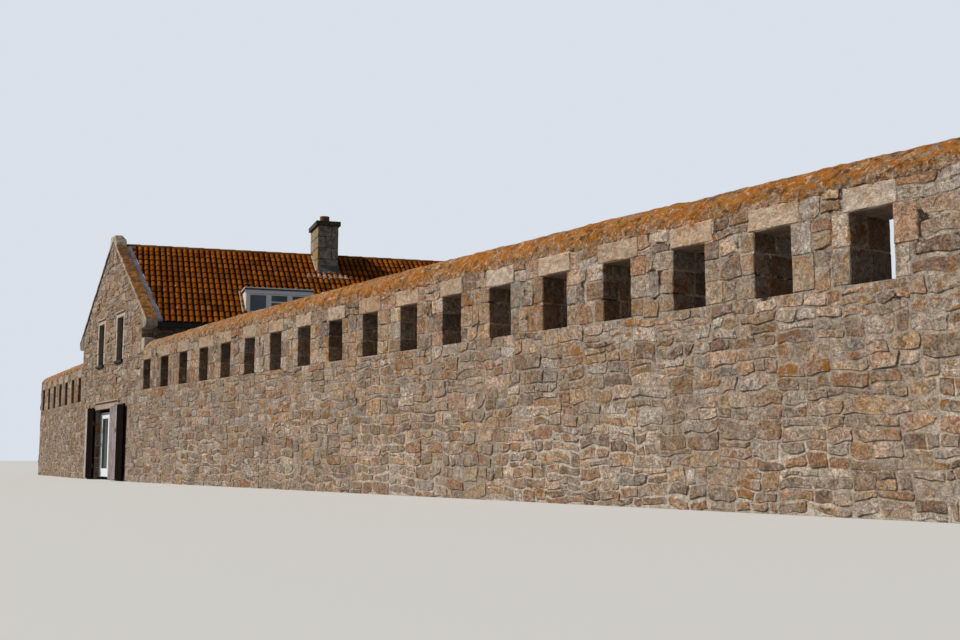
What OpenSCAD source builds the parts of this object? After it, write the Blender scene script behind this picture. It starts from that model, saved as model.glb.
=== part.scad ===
// Front of a coastal fort: a long loopholed granite wall, a gabled guardhouse in line with it
// and a shorter loopholed wall beyond. Origin: foot of the outer wall face under the loophole
// next to the gable. +X runs along the long wall away from the gable, -Y faces outwards.

/* [Loopholed walls] */
// Distance between neighbouring loopholes of the long wall
bay_pitch = 1320; // [1200:10:1330]
// Number of loopholes in the long wall
bay_count = 18; // [3:1:18]
// Width of a loophole
loophole_w = 550; // [400:10:650]
// Height of a loophole
loophole_h = 770; // [600:10:850]
// Height of a loophole's sill above the ground
sill_z = 2400; // [1800:10:2500]
// Thickness of the wall
wall_t = 680; // [500:10:900]
// Height of the dressed lintel stones
lintel_h = 250; // [180:10:300]
// Height of the weathered coping above the lintels
coping_h = 380; // [250:10:420]
// Distance between neighbouring loopholes of the left wall
left_pitch = 1290; // [1200:10:1320]
// Number of loopholes in the left wall
left_count = 7; // [3:1:7]
// Inward turn of the left wall, in degrees
left_turn = 6.2; // [0:0.1:12]
// Height of the taller wall that returns inland at the far left
return_h = 4200; // [3900:10:4600]

/* [Guardhouse] */
// Width of the gable
gable_w = 7070; // [6500:10:7500]
// Inward turn of the gable, in degrees
gable_turn = 4; // [0:0.1:8]
// Skew between the gable and the ridge, in degrees
ridge_skew = 12.24; // [0:0.01:15]
// Depth of the house, square to the gable
house_d = 11000; // [9500:10:12000]
// Thickness of the gable walls
gable_t = 550; // [400:10:650]
// Thickness of the gable parapets above the roof
parapet_t = 270; // [200:10:350]
// Thickness of the side walls
side_t = 500; // [400:10:600]
// Height of the tiles at the ridge
ridge_z = 6800; // [6500:10:7000]
// Rise of the roof for each unit across
roof_rise = 0.705; // [0.6:0.005:0.8]

/* [Openings of the guardhouse] */
// Width of the doorway
door_w = 2700; // [2400:10:2800]
// Height of the doorway
door_h = 2050; // [1950:10:2200]
// Width of an upper gable window
window_w = 700; // [500:10:800]
// Height of an upper gable window
window_h = 1230; // [1000:10:1300]
// Width of a ground-floor side window
side_window_w = 900; // [700:10:1100]

/* [Chimney and dormer] */
// Width of the chimney along the ridge
stack_w = 610; // [500:10:800]
// Depth of the chimney across the ridge
stack_d = 1250; // [900:10:1500]
// Height of the top of the chimney shaft
stack_z = 7610; // [7300:10:8200]
// Width of the dormer
dormer_w = 1820; // [1500:10:2200]

/* [Hidden] */
$fn = 48;
slack = 100;
reach = 16000;
above_all = 9000;

wall_start = -520;
wall_end = 23500;
head_z = sill_z + loophole_h;
crest_z = head_z + lintel_h;
lintel_w = loophole_w + 240;
left_l = 8960;
return_t = 400;
bed = 1;
left_first = 520;

half_w = gable_w / 2 * cos(ridge_skew);
eaves_x = half_w + 245;
roof_t = 220;
coping_rise = 240;
coping_t = 120;
coping_drip = 30;
kneeler_out = 480;
kneeler_foot_z = 4000;
footstone_w = 250;
footstone_d = 300;
footstone_h = 350;
floor_z = 80;
upper_z = 2700;
upper_t = 200;
rear_y = house_d - gable_t;
rear_roof_y = house_d - parapet_t;

door_s = 5000;
door_lintel_h = 220;
door_bearing = 150;
frame_y = 140;
frame_t = 70;
leaf_t = 50;
leaf_y = -90;
leaf_top = 2130;
leaf_gap = 25;
left_leaf_w = 1080;
board_w = 130;
board_groove = 8;
board_drops = [0, 38, 14];

window_sill_z = 3350;
window_s = [2380, 4660];
window_lintel_h = 160;
side_sill_z = 950;
side_head_z = 2150;
side_window_y = [2500, 5500, 8500];

stack_x = [-350, 900];
stack_y = 5850;
stack_base_z = 5900;
cap_t = 130;
cap_out = 65;
pot_r = 145;
pot_h = 260;

dormer_y = 3480;
dormer_x = 3200;
dormer_z = 5285;
dormer_roof_t = 60;
cheek_t = 60;

// Places children on the line of the left wall, with X from the gable corner
module on_left_wall() {
    translate([wall_start - gable_w * cos(gable_turn), gable_w * sin(gable_turn), 0])
        rotate([0, 0, -left_turn]) children();
}

// Places children on the gable: X runs left to right along its face, Y inwards
module on_gable() {
    translate([wall_start, 0, 0]) rotate([0, 0, -gable_turn]) children();
}

// Places children under the ridge: Y runs along the ridge, X towards the long wall
module on_ridge() {
    on_gable() translate([-gable_w / 2, 0, 0]) rotate([0, 0, -ridge_skew]) children();
}

// A section in X and Z, drawn out along the ridge
module along_ridge(y0 = -slack - reach / 4, y1 = reach) {
    on_ridge() translate([0, y1, 0]) rotate([90, 0, 0]) linear_extrude(y1 - y0) children();
}

// The slab of space between two planes that are parallel to the gable
module gable_slab(y0, y1, z0 = -slack, z1 = above_all) {
    on_gable() translate([-reach, y0, z0]) cube([2 * reach, y1 - y0, z1 - z0]);
}

function slope_z(x, top) = top - roof_rise * abs(x);

function loophole_x(i, first, pitch) = first + i * pitch;

// Keeps the part of a wall that lies outside the house; side is 1 towards the long wall
module outside_house(side) {
    difference() {
        children();
        on_ridge() translate([side > 0 ? half_w + bed - reach : -half_w - bed, -reach / 2, -slack])
            cube([reach, reach, above_all]);
    }
}

module wall_course(z0, z1, x0, x1) {
    translate([x0, 0, z0]) cube([x1 - x0, wall_t, z1 - z0]);
}

// Masonry between the loopholes; w is the width of what it leaves open
module courses_between(z0, z1, w, x0, x1, first, pitch, count) {
    for (i = [0 : count])
        wall_course(z0, z1,
                    i == 0 ? x0 : loophole_x(i - 1, first, pitch) + w / 2,
                    i == count ? x1 : loophole_x(i, first, pitch) - w / 2);
}

module lintel_row(first, pitch, count) {
    for (i = [0 : count - 1])
        wall_course(head_z, crest_z, loophole_x(i, first, pitch) - lintel_w / 2,
                    loophole_x(i, first, pitch) + lintel_w / 2);
}

// Weathered coping: a low outer edge, then a slope to a rounded crest
module coping_section() {
    crest = coping_h;
    edge = 0.36 * coping_h;
    polygon([[0, 0], [0, edge], [40, edge + 80], [150, crest - 65], [290, crest],
             [420, crest - 5], [560, crest - 90], [wall_t, edge + 20], [wall_t, 0]]);
}

module wall_coping(x0, x1) {
    translate([x0, 0, crest_z]) rotate([90, 0, 90]) linear_extrude(x1 - x0) coping_section();
}

long_x0 = wall_start - 2 * slack;

module long_wall_base() {
    color("rosybrown") outside_house(1) wall_course(0, sill_z, long_x0, wall_end);
}

module long_wall_piers() {
    color("rosybrown") outside_house(1)
        courses_between(sill_z, head_z, loophole_w, long_x0, wall_end, 0, bay_pitch, bay_count);
}

module long_wall_lintels() {
    color("tan") outside_house(1) lintel_row(0, bay_pitch, bay_count);
}

module long_wall_head() {
    color("rosybrown") outside_house(1)
        courses_between(head_z, crest_z, lintel_w, long_x0, wall_end, 0, bay_pitch, bay_count);
}

// The coping ends at the gable's corner with a square footstone
module long_wall_coping() {
    color("darkorange") outside_house(1) {
        wall_coping(long_x0, wall_end);
        translate([wall_start, 0, crest_z]) cube([footstone_w, footstone_d, footstone_h]);
    }
}

left_x0 = -left_l;
left_last = -left_first - (left_count - 1) * left_pitch;

module left_wall_base() {
    color("rosybrown") outside_house(-1) on_left_wall() wall_course(0, sill_z, left_x0, 2 * slack);
}

module left_wall_piers() {
    color("rosybrown") outside_house(-1) on_left_wall()
        courses_between(sill_z, head_z, loophole_w, left_x0, 2 * slack, left_last, left_pitch, left_count);
}

module left_wall_lintels() {
    color("tan") outside_house(-1) on_left_wall() lintel_row(left_last, left_pitch, left_count);
}

module left_wall_head() {
    color("rosybrown") outside_house(-1) on_left_wall()
        courses_between(head_z, crest_z, lintel_w, left_x0, 2 * slack, left_last, left_pitch, left_count);
}

module left_wall_coping() {
    color("darkorange") outside_house(-1) on_left_wall() wall_coping(left_x0, 2 * slack);
}

// The taller wall starts behind the far end of the left wall, and its top is raked at that end
module return_wall() {
    run = 7600;
    rake = 1500;
    color("dimgray") on_left_wall() translate([left_x0, wall_t, 0]) rotate([90, 0, 90])
        linear_extrude(return_t)
            polygon([[0, 0], [run, 0], [run, return_h], [rake, return_h], [0, crest_z + coping_h]]);
}

// Outline of the house in a section across the ridge, up to the given top of its gables
module house_section(top) {
    polygon([[-half_w, 0], [half_w, 0], [half_w, slope_z(half_w, top)], [0, top],
             [-half_w, slope_z(half_w, top)]]);
}

peak_top = ridge_z + coping_rise - coping_t - bed;
under_roof = ridge_z - roof_t - bed;

// The inner part of a gable carries the roof, the outer part runs up past it as a thin parapet
module gable_mass(y0, z0, z1) {
    parapet_y = y0 > 0 ? rear_roof_y : 0;
    intersection() {
        along_ridge() house_section(under_roof);
        gable_slab(y0, y0 + gable_t, z0, z1);
    }
    intersection() {
        along_ridge() house_section(peak_top);
        gable_slab(parapet_y, parapet_y + parapet_t, z0, z1);
    }
}

module gable_hole(x0, x1, y0, z0, z1) {
    on_gable() translate([x0, y0 - slack, z0]) cube([x1 - x0, gable_t + 2 * slack, z1 - z0]);
}

module front_gable_lower() {
    color("rosybrown") difference() {
        gable_mass(0, 0, door_h + door_lintel_h);
        gable_hole(-door_s, -door_s + door_w, 0, -slack, door_h + slack);
        gable_hole(-door_s - door_bearing, -door_s + door_w + door_bearing, 0, door_h,
                   door_h + door_lintel_h + slack);
    }
}

// The doorway's cast lintel with a thin drip mould whose right end turns down
module door_lintel() {
    x0 = -door_s - door_bearing;
    x1 = -door_s + door_w + door_bearing;
    color("burlywood") on_gable() {
        translate([x0, 0, door_h]) cube([x1 - x0, gable_t, door_lintel_h]);
        translate([x0, -45, door_h + door_lintel_h - 35]) cube([x1 - x0, 46, 35]);
        translate([x1 - 40, -45, door_h + 100]) cube([40, 46, 100]);
    }
}

module front_gable_band() {
    color("rosybrown") difference() {
        gable_mass(0, door_h + door_lintel_h, window_sill_z);
        for (s = window_s) sill_notch(s, 0);
    }
}

sill_w = window_w + 140;
sill_t = 70;
sill_in = 200;

module sill_notch(s, y0) {
    on_gable() translate([-s - sill_w / 2, y0 - slack, window_sill_z - sill_t])
        cube([sill_w, slack + sill_in, sill_t + slack]);
}

module gable_piers(y0) {
    difference() {
        gable_mass(y0, window_sill_z, window_sill_z + window_h);
        for (s = window_s)
            gable_hole(-s - window_w / 2, -s + window_w / 2, y0, window_sill_z - slack,
                       window_sill_z + window_h + slack);
    }
}

window_lintel_w = window_w + 300;

module gable_peak(y0) {
    difference() {
        gable_mass(y0, window_sill_z + window_h, above_all);
        for (s = window_s)
            gable_hole(-s - window_lintel_w / 2, -s + window_lintel_w / 2, y0, 0,
                       window_sill_z + window_h + window_lintel_h);
    }
}

module front_gable_piers() { color("rosybrown") gable_piers(0); }

module front_gable_peak() { color("rosybrown") gable_peak(0); }

rear_shift = rear_y * tan(ridge_skew);

// Repeats the front gable's openings on the rear gable, which the skew moves sideways
module at_rear() {
    rotate([0, 0, -gable_turn]) translate([rear_shift, 0, 0]) rotate([0, 0, gable_turn]) children();
}

module rear_gable_lower() {
    color("rosybrown") difference() {
        gable_mass(rear_y, 0, window_sill_z);
        at_rear() for (s = window_s)
            on_gable() translate([-s - sill_w / 2, house_d - sill_in, window_sill_z - sill_t])
                cube([sill_w, slack + sill_in, sill_t + slack]);
    }
}

module rear_gable_piers() {
    color("rosybrown") difference() {
        gable_mass(rear_y, window_sill_z, window_sill_z + window_h);
        at_rear() for (s = window_s)
            gable_hole(-s - window_w / 2, -s + window_w / 2, rear_y, window_sill_z - slack,
                       window_sill_z + window_h + slack);
    }
}

module rear_gable_peak() {
    color("rosybrown") difference() {
        gable_mass(rear_y, window_sill_z + window_h, above_all);
        at_rear() for (s = window_s)
            gable_hole(-s - window_lintel_w / 2, -s + window_lintel_w / 2, rear_y, 0,
                       window_sill_z + window_h + window_lintel_h);
    }
}

module window_lintel(s, y0, out) {
    drip_y = out > 0 ? y0 + gable_t - 1 : y0 - 40;
    on_gable() {
        translate([-s - window_lintel_w / 2, y0, window_sill_z + window_h + bed])
            cube([window_lintel_w, gable_t, window_lintel_h - bed]);
        translate([-s - window_lintel_w / 2, drip_y, window_sill_z + window_h + window_lintel_h - 30])
            cube([window_lintel_w, 41, 30]);
    }
}

module gable_window_lintels() {
    color("antiquewhite") {
        for (s = window_s) window_lintel(s, 0, -1);
        at_rear() for (s = window_s) window_lintel(s, rear_y, 1);
    }
}

module gable_window_sills() {
    color("darkslategray") {
        for (s = window_s) on_gable() translate([-s - sill_w / 2, -60, window_sill_z - sill_t])
            cube([sill_w, sill_in + 60, sill_t]);
        at_rear() for (s = window_s) on_gable()
            translate([-s - sill_w / 2, house_d - sill_in, window_sill_z - sill_t])
                cube([sill_w, sill_in + 60, sill_t]);
    }
}

// Side walls stand between the gables; side is 1 towards the long wall and -1 away from it
module side_course(side, z0, z1) {
    intersection() {
        along_ridge() polygon([[side * (half_w - side_t), z0], [side * half_w, z0],
                               [side * half_w, min(z1, slope_z(half_w, under_roof))],
                               [side * (half_w - side_t), min(z1, slope_z(half_w - side_t, under_roof))]]);
        gable_slab(gable_t, rear_y);
    }
}

module side_piers(side) {
    difference() {
        side_course(side, side_sill_z, side_head_z);
        for (y = side_window_y)
            on_ridge() translate([side * half_w - side_t - slack, y - side_window_w / 2, 0])
                cube([2 * side_t + 2 * slack, side_window_w, above_all]);
    }
}

module near_wall_base() { color("rosybrown") side_course(1, 0, side_sill_z); }
module near_wall_piers() { color("rosybrown") side_piers(1); }
module near_wall_head() { color("rosybrown") side_course(1, side_head_z, above_all); }
module far_wall_base() { color("rosybrown") side_course(-1, 0, side_sill_z); }
module far_wall_piers() { color("rosybrown") side_piers(-1); }
module far_wall_head() { color("rosybrown") side_course(-1, side_head_z, above_all); }

module floor_plate(z0, z1) {
    intersection() {
        on_ridge() translate([-half_w + side_t + bed, -reach / 4, z0])
            cube([2 * (half_w - side_t - bed), reach, z1 - z0]);
        gable_slab(gable_t, rear_y);
    }
}

module ground_floor() { color("slategray") floor_plate(0, floor_z); }
module upper_floor() { color("peru") floor_plate(upper_z - upper_t, upper_z); }

module chimney_hole() {
    on_ridge() translate([stack_x[0], stack_y, 0]) cube([stack_d, stack_w, above_all]);
}

module roof_slope(side) {
    intersection() {
        along_ridge() polygon([[0, ridge_z], [side * eaves_x, slope_z(eaves_x, ridge_z)],
                               [side * eaves_x, slope_z(eaves_x, ridge_z) - roof_t * 0.6],
                               [side * half_w, slope_z(half_w, ridge_z - roof_t)],
                               [0, ridge_z - roof_t]]);
        gable_slab(parapet_t, rear_roof_y);
    }
}

module near_roof_slope() {
    color("chocolate") difference() {
        roof_slope(1);
        chimney_hole();
        on_ridge() translate([dormer_back, dormer_y, upper_z])
            cube([dormer_x - dormer_back, dormer_w, above_all]);
        dormer_cover(bed);
    }
}

module far_roof_slope() {
    color("chocolate") difference() {
        roof_slope(-1);
        chimney_hole();
    }
}

module ridge_tiles() {
    color("saddlebrown") difference() {
        intersection() {
            along_ridge() difference() {
                translate([0, ridge_z - 45]) circle(r = 125);
                polygon([[0, ridge_z + 0.01], [400, slope_z(400, ridge_z)], [400, ridge_z - 600],
                         [-400, ridge_z - 600], [-400, slope_z(400, ridge_z)]]);
            }
            gable_slab(parapet_t, rear_roof_y);
        }
        chimney_hole();
    }
}

module coping_band(top, x0, x1) {
    polygon([[x0, slope_z(x0, top)], [x1, slope_z(x1, top)],
             [x1, slope_z(x1, top) - coping_t], [x0, slope_z(x0, top) - coping_t]]);
}

saddle_half = 420;
saddle_crown = 220;
saddle_top = 7085;
coping_top = ridge_z + coping_rise;

// The stones that lie on a parapet: they stand out by a drip in front of the gable's face
module on_parapets() {
    intersection() {
        along_ridge() children();
        union() {
            gable_slab(-coping_drip, parapet_t);
            gable_slab(rear_roof_y, house_d + coping_drip);
        }
    }
}

module gable_coping() {
    color("darkgoldenrod") for (side = [-1, 1])
        on_parapets() coping_band(coping_top, side * saddle_half, side * (half_w + kneeler_out));
}

// Saddle stones taper to a flat crown, which is weathered down towards the roof
module saddle_stones() {
    apex = peak_top + bed;
    foot = slope_z(saddle_half, apex);
    shoulder = slope_z(saddle_half, coping_top);
    color("gray") difference() {
        on_parapets() polygon([[-saddle_half, foot], [0, apex], [saddle_half, foot],
                               [saddle_half, shoulder], [saddle_crown, saddle_top],
                               [-saddle_crown, saddle_top], [-saddle_half, shoulder]]);
        weathering(saddle_top - 130, parapet_t - 100, parapet_t);
        weathering(saddle_top - 130, rear_roof_y + 100, rear_roof_y);
    }
}

// Cuts a slope from the height of the crown at y0 down to z at y1
module weathering(z, y0, y1) {
    out = y1 + (y1 > y0 ? slack : -slack);
    on_gable() translate([-reach / 2, 0, 0]) rotate([90, 0, 90]) linear_extrude(reach)
        polygon([[y0, saddle_top], [y1, z], [out, z], [out, saddle_top + slack], [y0, saddle_top + slack]]);
}

module kneelers() {
    out = half_w + kneeler_out;
    color("dimgray") for (side = [-1, 1])
        on_parapets() polygon([[side * half_w, kneeler_foot_z], [side * out, kneeler_foot_z + 40],
                               [side * out, slope_z(out, peak_top)],
                               [side * half_w, slope_z(half_w, peak_top)]]);
}

flashing_w = 180;
flashing_t = 75;

// Lead dressed over the end tiles beside each parapet, and an apron below the chimney
module lead_flashings() {
    color("slategray") {
        for (y = [parapet_t, rear_roof_y - flashing_w], side = [-1, 1])
            intersection() {
                along_ridge() polygon([[side * 140, slope_z(140, ridge_z)],
                                       [side * eaves_x, slope_z(eaves_x, ridge_z)],
                                       [side * eaves_x, slope_z(eaves_x, ridge_z) + flashing_t],
                                       [side * 140, slope_z(140, ridge_z) + flashing_t]]);
                gable_slab(y, y + flashing_w);
            }
        on_ridge() translate([stack_x[1], stack_y + stack_w, 0]) rotate([90, 0, 0]) linear_extrude(stack_w)
            polygon([[0, slope_z(stack_x[1], ridge_z)], [170, slope_z(stack_x[1] + 170, ridge_z)],
                     [170, slope_z(stack_x[1] + 170, ridge_z) + flashing_t],
                     [25, slope_z(stack_x[1] + 25, ridge_z) + 200],
                     [0, slope_z(stack_x[1], ridge_z) + 220]]);
    }
}

gutter_w = 120;
gutter_h = 130;

gutter_wall = 10;

module box_gutters() {
    z = slope_z(eaves_x, ridge_z) - roof_t * 0.6 - 2 * gutter_wall;
    color("black") for (x = [eaves_x, -eaves_x - gutter_w])
        intersection() {
            along_ridge() translate([x, z]) difference() {
                square([gutter_w, gutter_h]);
                translate([gutter_wall, gutter_wall]) square([gutter_w - 2 * gutter_wall, gutter_h]);
            }
            gable_slab(parapet_t, rear_roof_y);
        }
}

module chimney_stack() {
    color("dimgray") on_ridge() translate([stack_x[0], stack_y, stack_base_z])
        cube([stack_d, stack_w, stack_z - stack_base_z]);
}

module chimney_cap() {
    color("darkslategray") on_ridge() translate([stack_x[0] - cap_out, stack_y - cap_out, stack_z])
        cube([stack_d + 2 * cap_out, stack_w + 2 * cap_out, cap_t]);
}

module chimney_pot() {
    color("sienna") on_ridge()
        translate([(stack_x[0] + stack_x[1]) / 2, stack_y + stack_w / 2, stack_z + cap_t]) difference() {
            cylinder(r = pot_r, h = pot_h);
            translate([0, 0, -1]) cylinder(r = pot_r - 30, h = pot_h + 2);
        }
}

dormer_back = (ridge_z - dormer_z) / roof_rise;

module dormer_cheeks() {
    color("white") on_ridge() for (y = [dormer_y, dormer_y + dormer_w - cheek_t])
        translate([0, y + cheek_t, 0]) rotate([90, 0, 0]) linear_extrude(cheek_t)
            polygon([[dormer_back, dormer_z - dormer_roof_t], [dormer_x - 50, dormer_z - dormer_roof_t],
                     [dormer_x - 50, slope_z(dormer_x - 50, ridge_z - roof_t)],
                     [dormer_back, slope_z(dormer_back, ridge_z - roof_t)]]);
}

// The dormer's flat roof runs into the tiles at the back; grow widens it for the cut that lets it in
module dormer_cover(grow = 0) {
    eave = 40;
    over = eave + grow;
    on_ridge() translate([dormer_back - over, dormer_y - over, dormer_z - dormer_roof_t - grow])
        cube([dormer_x - dormer_back + 2 * over, dormer_w + 2 * over, dormer_roof_t + 2 * grow]);
}

module dormer_roof() { color("dimgray") dormer_cover(); }

module dormer_window() {
    rail = 80;
    low = slope_z(dormer_x - 50, ridge_z - roof_t);
    high = dormer_z - dormer_roof_t;
    sill = slope_z(dormer_x, ridge_z) + 60;
    pane = (dormer_w - 4 * rail) / 3;
    color("lavender") on_ridge() translate([dormer_x - 50, dormer_y, 0]) difference() {
        translate([0, 0, low]) cube([50, dormer_w, high - low]);
        for (i = [0 : 2])
            translate([-1, rail + i * (pane + rail), sill]) cube([52, pane, high - 110 - sill]);
    }
}

module dormer_glass() {
    rail = 80;
    sill = slope_z(dormer_x, ridge_z) + 60;
    pane = (dormer_w - 4 * rail) / 3;
    color("lightsteelblue") on_ridge() for (i = [0 : 2])
        translate([dormer_x - 30, dormer_y + rail + i * (pane + rail), sill])
            cube([10, pane, dormer_z - dormer_roof_t - 110 - sill]);
}

bar = 55;
frame_in = 130;
casement_t = 60;
glass_in = 155;
pane_t = 10;

// A frame with one transom, square to the face that it stands in
module casement(w, h) {
    difference() {
        cube([w, casement_t, h]);
        translate([bar, -1, bar]) cube([w - 2 * bar, casement_t + 2, h / 2 - 1.5 * bar]);
        translate([bar, -1, h / 2 + bar / 2]) cube([w - 2 * bar, casement_t + 2, h / 2 - 1.5 * bar]);
    }
}

module window_frames() {
    color("white") {
        for (s = window_s) {
            on_gable() translate([-s - window_w / 2, frame_in, window_sill_z])
                casement(window_w, window_h);
            at_rear() on_gable()
                translate([-s - window_w / 2, house_d - frame_in - casement_t, window_sill_z])
                    casement(window_w, window_h);
        }
        for (y = side_window_y) {
            on_ridge() translate([half_w - frame_in, y - side_window_w / 2, side_sill_z])
                rotate([0, 0, 90]) casement(side_window_w, side_head_z - side_sill_z);
            on_ridge() translate([-half_w + frame_in + casement_t, y - side_window_w / 2, side_sill_z])
                rotate([0, 0, 90]) casement(side_window_w, side_head_z - side_sill_z);
        }
    }
}

module pane_pair(w, h) {
    translate([bar, 0, bar]) cube([w - 2 * bar, pane_t, h / 2 - 1.5 * bar]);
    translate([bar, 0, h / 2 + bar / 2]) cube([w - 2 * bar, pane_t, h / 2 - 1.5 * bar]);
}

module window_glass() {
    color("lightsteelblue") {
        for (s = window_s) {
            on_gable() translate([-s - window_w / 2, glass_in, window_sill_z])
                pane_pair(window_w, window_h);
            at_rear() on_gable() translate([-s - window_w / 2, house_d - glass_in - pane_t, window_sill_z])
                pane_pair(window_w, window_h);
        }
        for (y = side_window_y) {
            on_ridge() translate([half_w - glass_in, y - side_window_w / 2, side_sill_z])
                rotate([0, 0, 90]) pane_pair(side_window_w, side_head_z - side_sill_z);
            on_ridge() translate([-half_w + glass_in + pane_t, y - side_window_w / 2, side_sill_z])
                rotate([0, 0, 90]) pane_pair(side_window_w, side_head_z - side_sill_z);
        }
    }
}

post = 70;
door_leaf_w = 960;
door_leaf_x = -door_s + post + 6;
mullion_x = door_leaf_x + door_leaf_w + 6;
frame_top = 1985;

// White frame: a post each side, a mullion beside the door leaf and a fixed light to the right
module door_frame() {
    light_w = (door_w - post - (mullion_x + door_s) - 2 * post) / 2;
    color("white") on_gable() translate([0, frame_y, 0]) difference() {
        translate([-door_s, 0, floor_z]) cube([door_w, frame_t, door_h - floor_z]);
        translate([-door_s + post, -1, floor_z - 1])
            cube([door_leaf_w + 12, frame_t + 2, frame_top - post - floor_z + 1]);
        for (i = [0, 1])
            translate([mullion_x + post + i * (light_w + post), -1, floor_z + 160])
                cube([light_w, frame_t + 2, frame_top - post - floor_z - 160]);
    }
}

// The glazed door: stiles and rails round one sheet of glass, with a lever handle
module glazed_door() {
    stile = 110;
    h = frame_top - post - floor_z - 12;
    color("white") on_gable() translate([door_leaf_x, frame_y + 10, floor_z + 6]) {
        difference() {
            cube([door_leaf_w, 50, h]);
            translate([stile, -1, 220]) cube([door_leaf_w - 2 * stile, 52, h - 220 - stile]);
        }
        translate([stile - 1, 20, 219]) cube([door_leaf_w - 2 * stile + 2, 10, h - 218 - stile]);
        translate([40, -30, 940]) cube([30, 31, 30]);
        translate([40, -30, 940]) cube([120, 12, 22]);
    }
}

// A leaf of upright boards with a groove at each joint, their tops cut off unevenly
module boards(x0, x1) {
    count = floor((x1 - x0) / board_w);
    pitch = (x1 - x0) / count;
    color("slategray") on_gable() difference() {
        translate([x0, leaf_y, leaf_gap]) cube([x1 - x0, leaf_t, leaf_top - leaf_gap]);
        for (i = [1 : count - 1])
            translate([x0 + i * pitch, leaf_y, leaf_top / 2]) rotate([0, 0, 45])
                cube([board_groove, board_groove, leaf_top], center = true);
        for (i = [0 : count - 1])
            translate([x0 + i * pitch, leaf_y - 1, leaf_top - board_drops[i % 3]])
                cube([pitch, leaf_t + 2, slack]);
    }
}

pin_r = 10;
pin_x = -door_s + 50;
pin_y = leaf_y + leaf_t / 2;
knuckle_r = 20;
knuckle_h = 70;
knuckle_z = [380, 1640];

module left_gate_leaf() {
    x1 = pin_x - knuckle_r - 8;
    boards(x1 - left_leaf_w, x1);
    color("black") on_gable() for (z = knuckle_z) {
        translate([pin_x, pin_y, z]) difference() {
            union() {
                cylinder(r = knuckle_r, h = knuckle_h);
                translate([-knuckle_r - 12, -6, 0]) cube([knuckle_r + 12, 12, knuckle_h]);
            }
            translate([0, 0, -1]) cylinder(r = pin_r + 0.06, h = knuckle_h + 2);
        }
    }
}

module gate_pintles() {
    color("black") on_gable() for (z = knuckle_z) {
        translate([pin_x, pin_y, z - 40]) cylinder(r = pin_r, h = knuckle_h + 50);
        translate([pin_x - pin_r, pin_y - pin_r, z - 45]) cube([2 * pin_r, -pin_y + pin_r, 38]);
    }
}

module folding_gate_leaves() {
    boards(-2900, -2080);
    boards(-2055, -1310);
}

long_wall_base();
long_wall_piers();
long_wall_lintels();
long_wall_head();
long_wall_coping();
left_wall_base();
left_wall_piers();
left_wall_lintels();
left_wall_head();
left_wall_coping();
return_wall();
front_gable_lower();
front_gable_band();
front_gable_piers();
front_gable_peak();
rear_gable_lower();
rear_gable_piers();
rear_gable_peak();
near_wall_base();
near_wall_piers();
near_wall_head();
far_wall_base();
far_wall_piers();
far_wall_head();
ground_floor();
upper_floor();
near_roof_slope();
far_roof_slope();
ridge_tiles();
gable_coping();
saddle_stones();
kneelers();
lead_flashings();
box_gutters();
chimney_stack();
chimney_cap();
chimney_pot();
dormer_cheeks();
dormer_roof();
dormer_window();
dormer_glass();
gable_window_lintels();
gable_window_sills();
window_frames();
window_glass();
door_lintel();
door_frame();
glazed_door();
left_gate_leaf();
folding_gate_leaves();
gate_pintles();
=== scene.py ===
import math
import random

import bmesh
import bpy
from mathutils import Matrix, Vector, noise


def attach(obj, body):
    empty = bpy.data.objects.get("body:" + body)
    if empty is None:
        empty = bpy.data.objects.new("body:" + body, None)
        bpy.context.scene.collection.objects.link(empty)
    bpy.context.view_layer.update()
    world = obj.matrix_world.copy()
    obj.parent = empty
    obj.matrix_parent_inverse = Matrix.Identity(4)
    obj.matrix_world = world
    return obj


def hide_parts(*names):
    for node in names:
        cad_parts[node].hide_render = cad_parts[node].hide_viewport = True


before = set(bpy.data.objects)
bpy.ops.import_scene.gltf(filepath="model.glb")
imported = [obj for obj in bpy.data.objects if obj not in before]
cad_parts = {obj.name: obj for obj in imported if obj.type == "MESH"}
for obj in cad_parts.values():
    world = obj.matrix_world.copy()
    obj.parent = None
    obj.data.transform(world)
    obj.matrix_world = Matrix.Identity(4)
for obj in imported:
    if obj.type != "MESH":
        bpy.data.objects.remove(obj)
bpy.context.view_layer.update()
# Without a seed of its own the noise follows the clock, and no two runs are alike
noise.seed_set(7)

# Driving dimensions, in metres. The wall stands on the X axis and faces -Y.
BAY = 1.32
BAYS = 18
LEFT_BAY = 1.29
LEFT_BAYS = 7
LEFT_FIRST = 0.52
HOLE_W = 0.55
SILL = 2.4
HEAD = 3.17
CREST = 3.42
WALL_TOP = 3.8
WALL_T = 0.68
WALL_START = -0.52
WALL_END = 23.5
LEFT_END = -8.96
RETURN_T = 0.40
RETURN_RUN = 7.6
RETURN_RAKE = 1.5
RETURN_TOP = 4.2

GABLE_W = 7.07
GABLE_T = 0.55
PARAPET_T = 0.27
FLASHING_W = 0.18
FLASHING_T = 0.075
HOUSE_D = 11.0
GABLE_TURN = 4
RIDGE_SKEW = 12.24
LEFT_TURN = 6.2
HALF_W = GABLE_W / 2 * math.cos(math.radians(RIDGE_SKEW))
SIDE_T = 0.5
RIDGE_Z = 6.8
RISE = 0.705
EAVES = HALF_W + 0.245
PEAK = 6.919
COPING_T = 0.12
DRIP = 0.03
KNEELER_OUT = 0.48
KNEELER_FOOT = 4.0
SADDLE_HALF = 0.42
SADDLE_CROWN = 0.22
SADDLE_TOP = 7.085
FOOTSTONE = (0.25, 0.3, 0.35)
DOOR_X = -5.0
DOOR_W = 2.7
DOOR_H = 2.05
DOOR_LINTEL = 0.22
WINDOWS = (-2.38, -4.66)
WINDOW_W = 0.7
WINDOW_SILL = 3.35
WINDOW_HEAD = 4.58
WINDOW_LINTEL = 0.16
SIDE_WINDOWS = (2.5, 5.5, 8.5)
SIDE_W = 0.9
SIDE_SILL = 0.95
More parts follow.
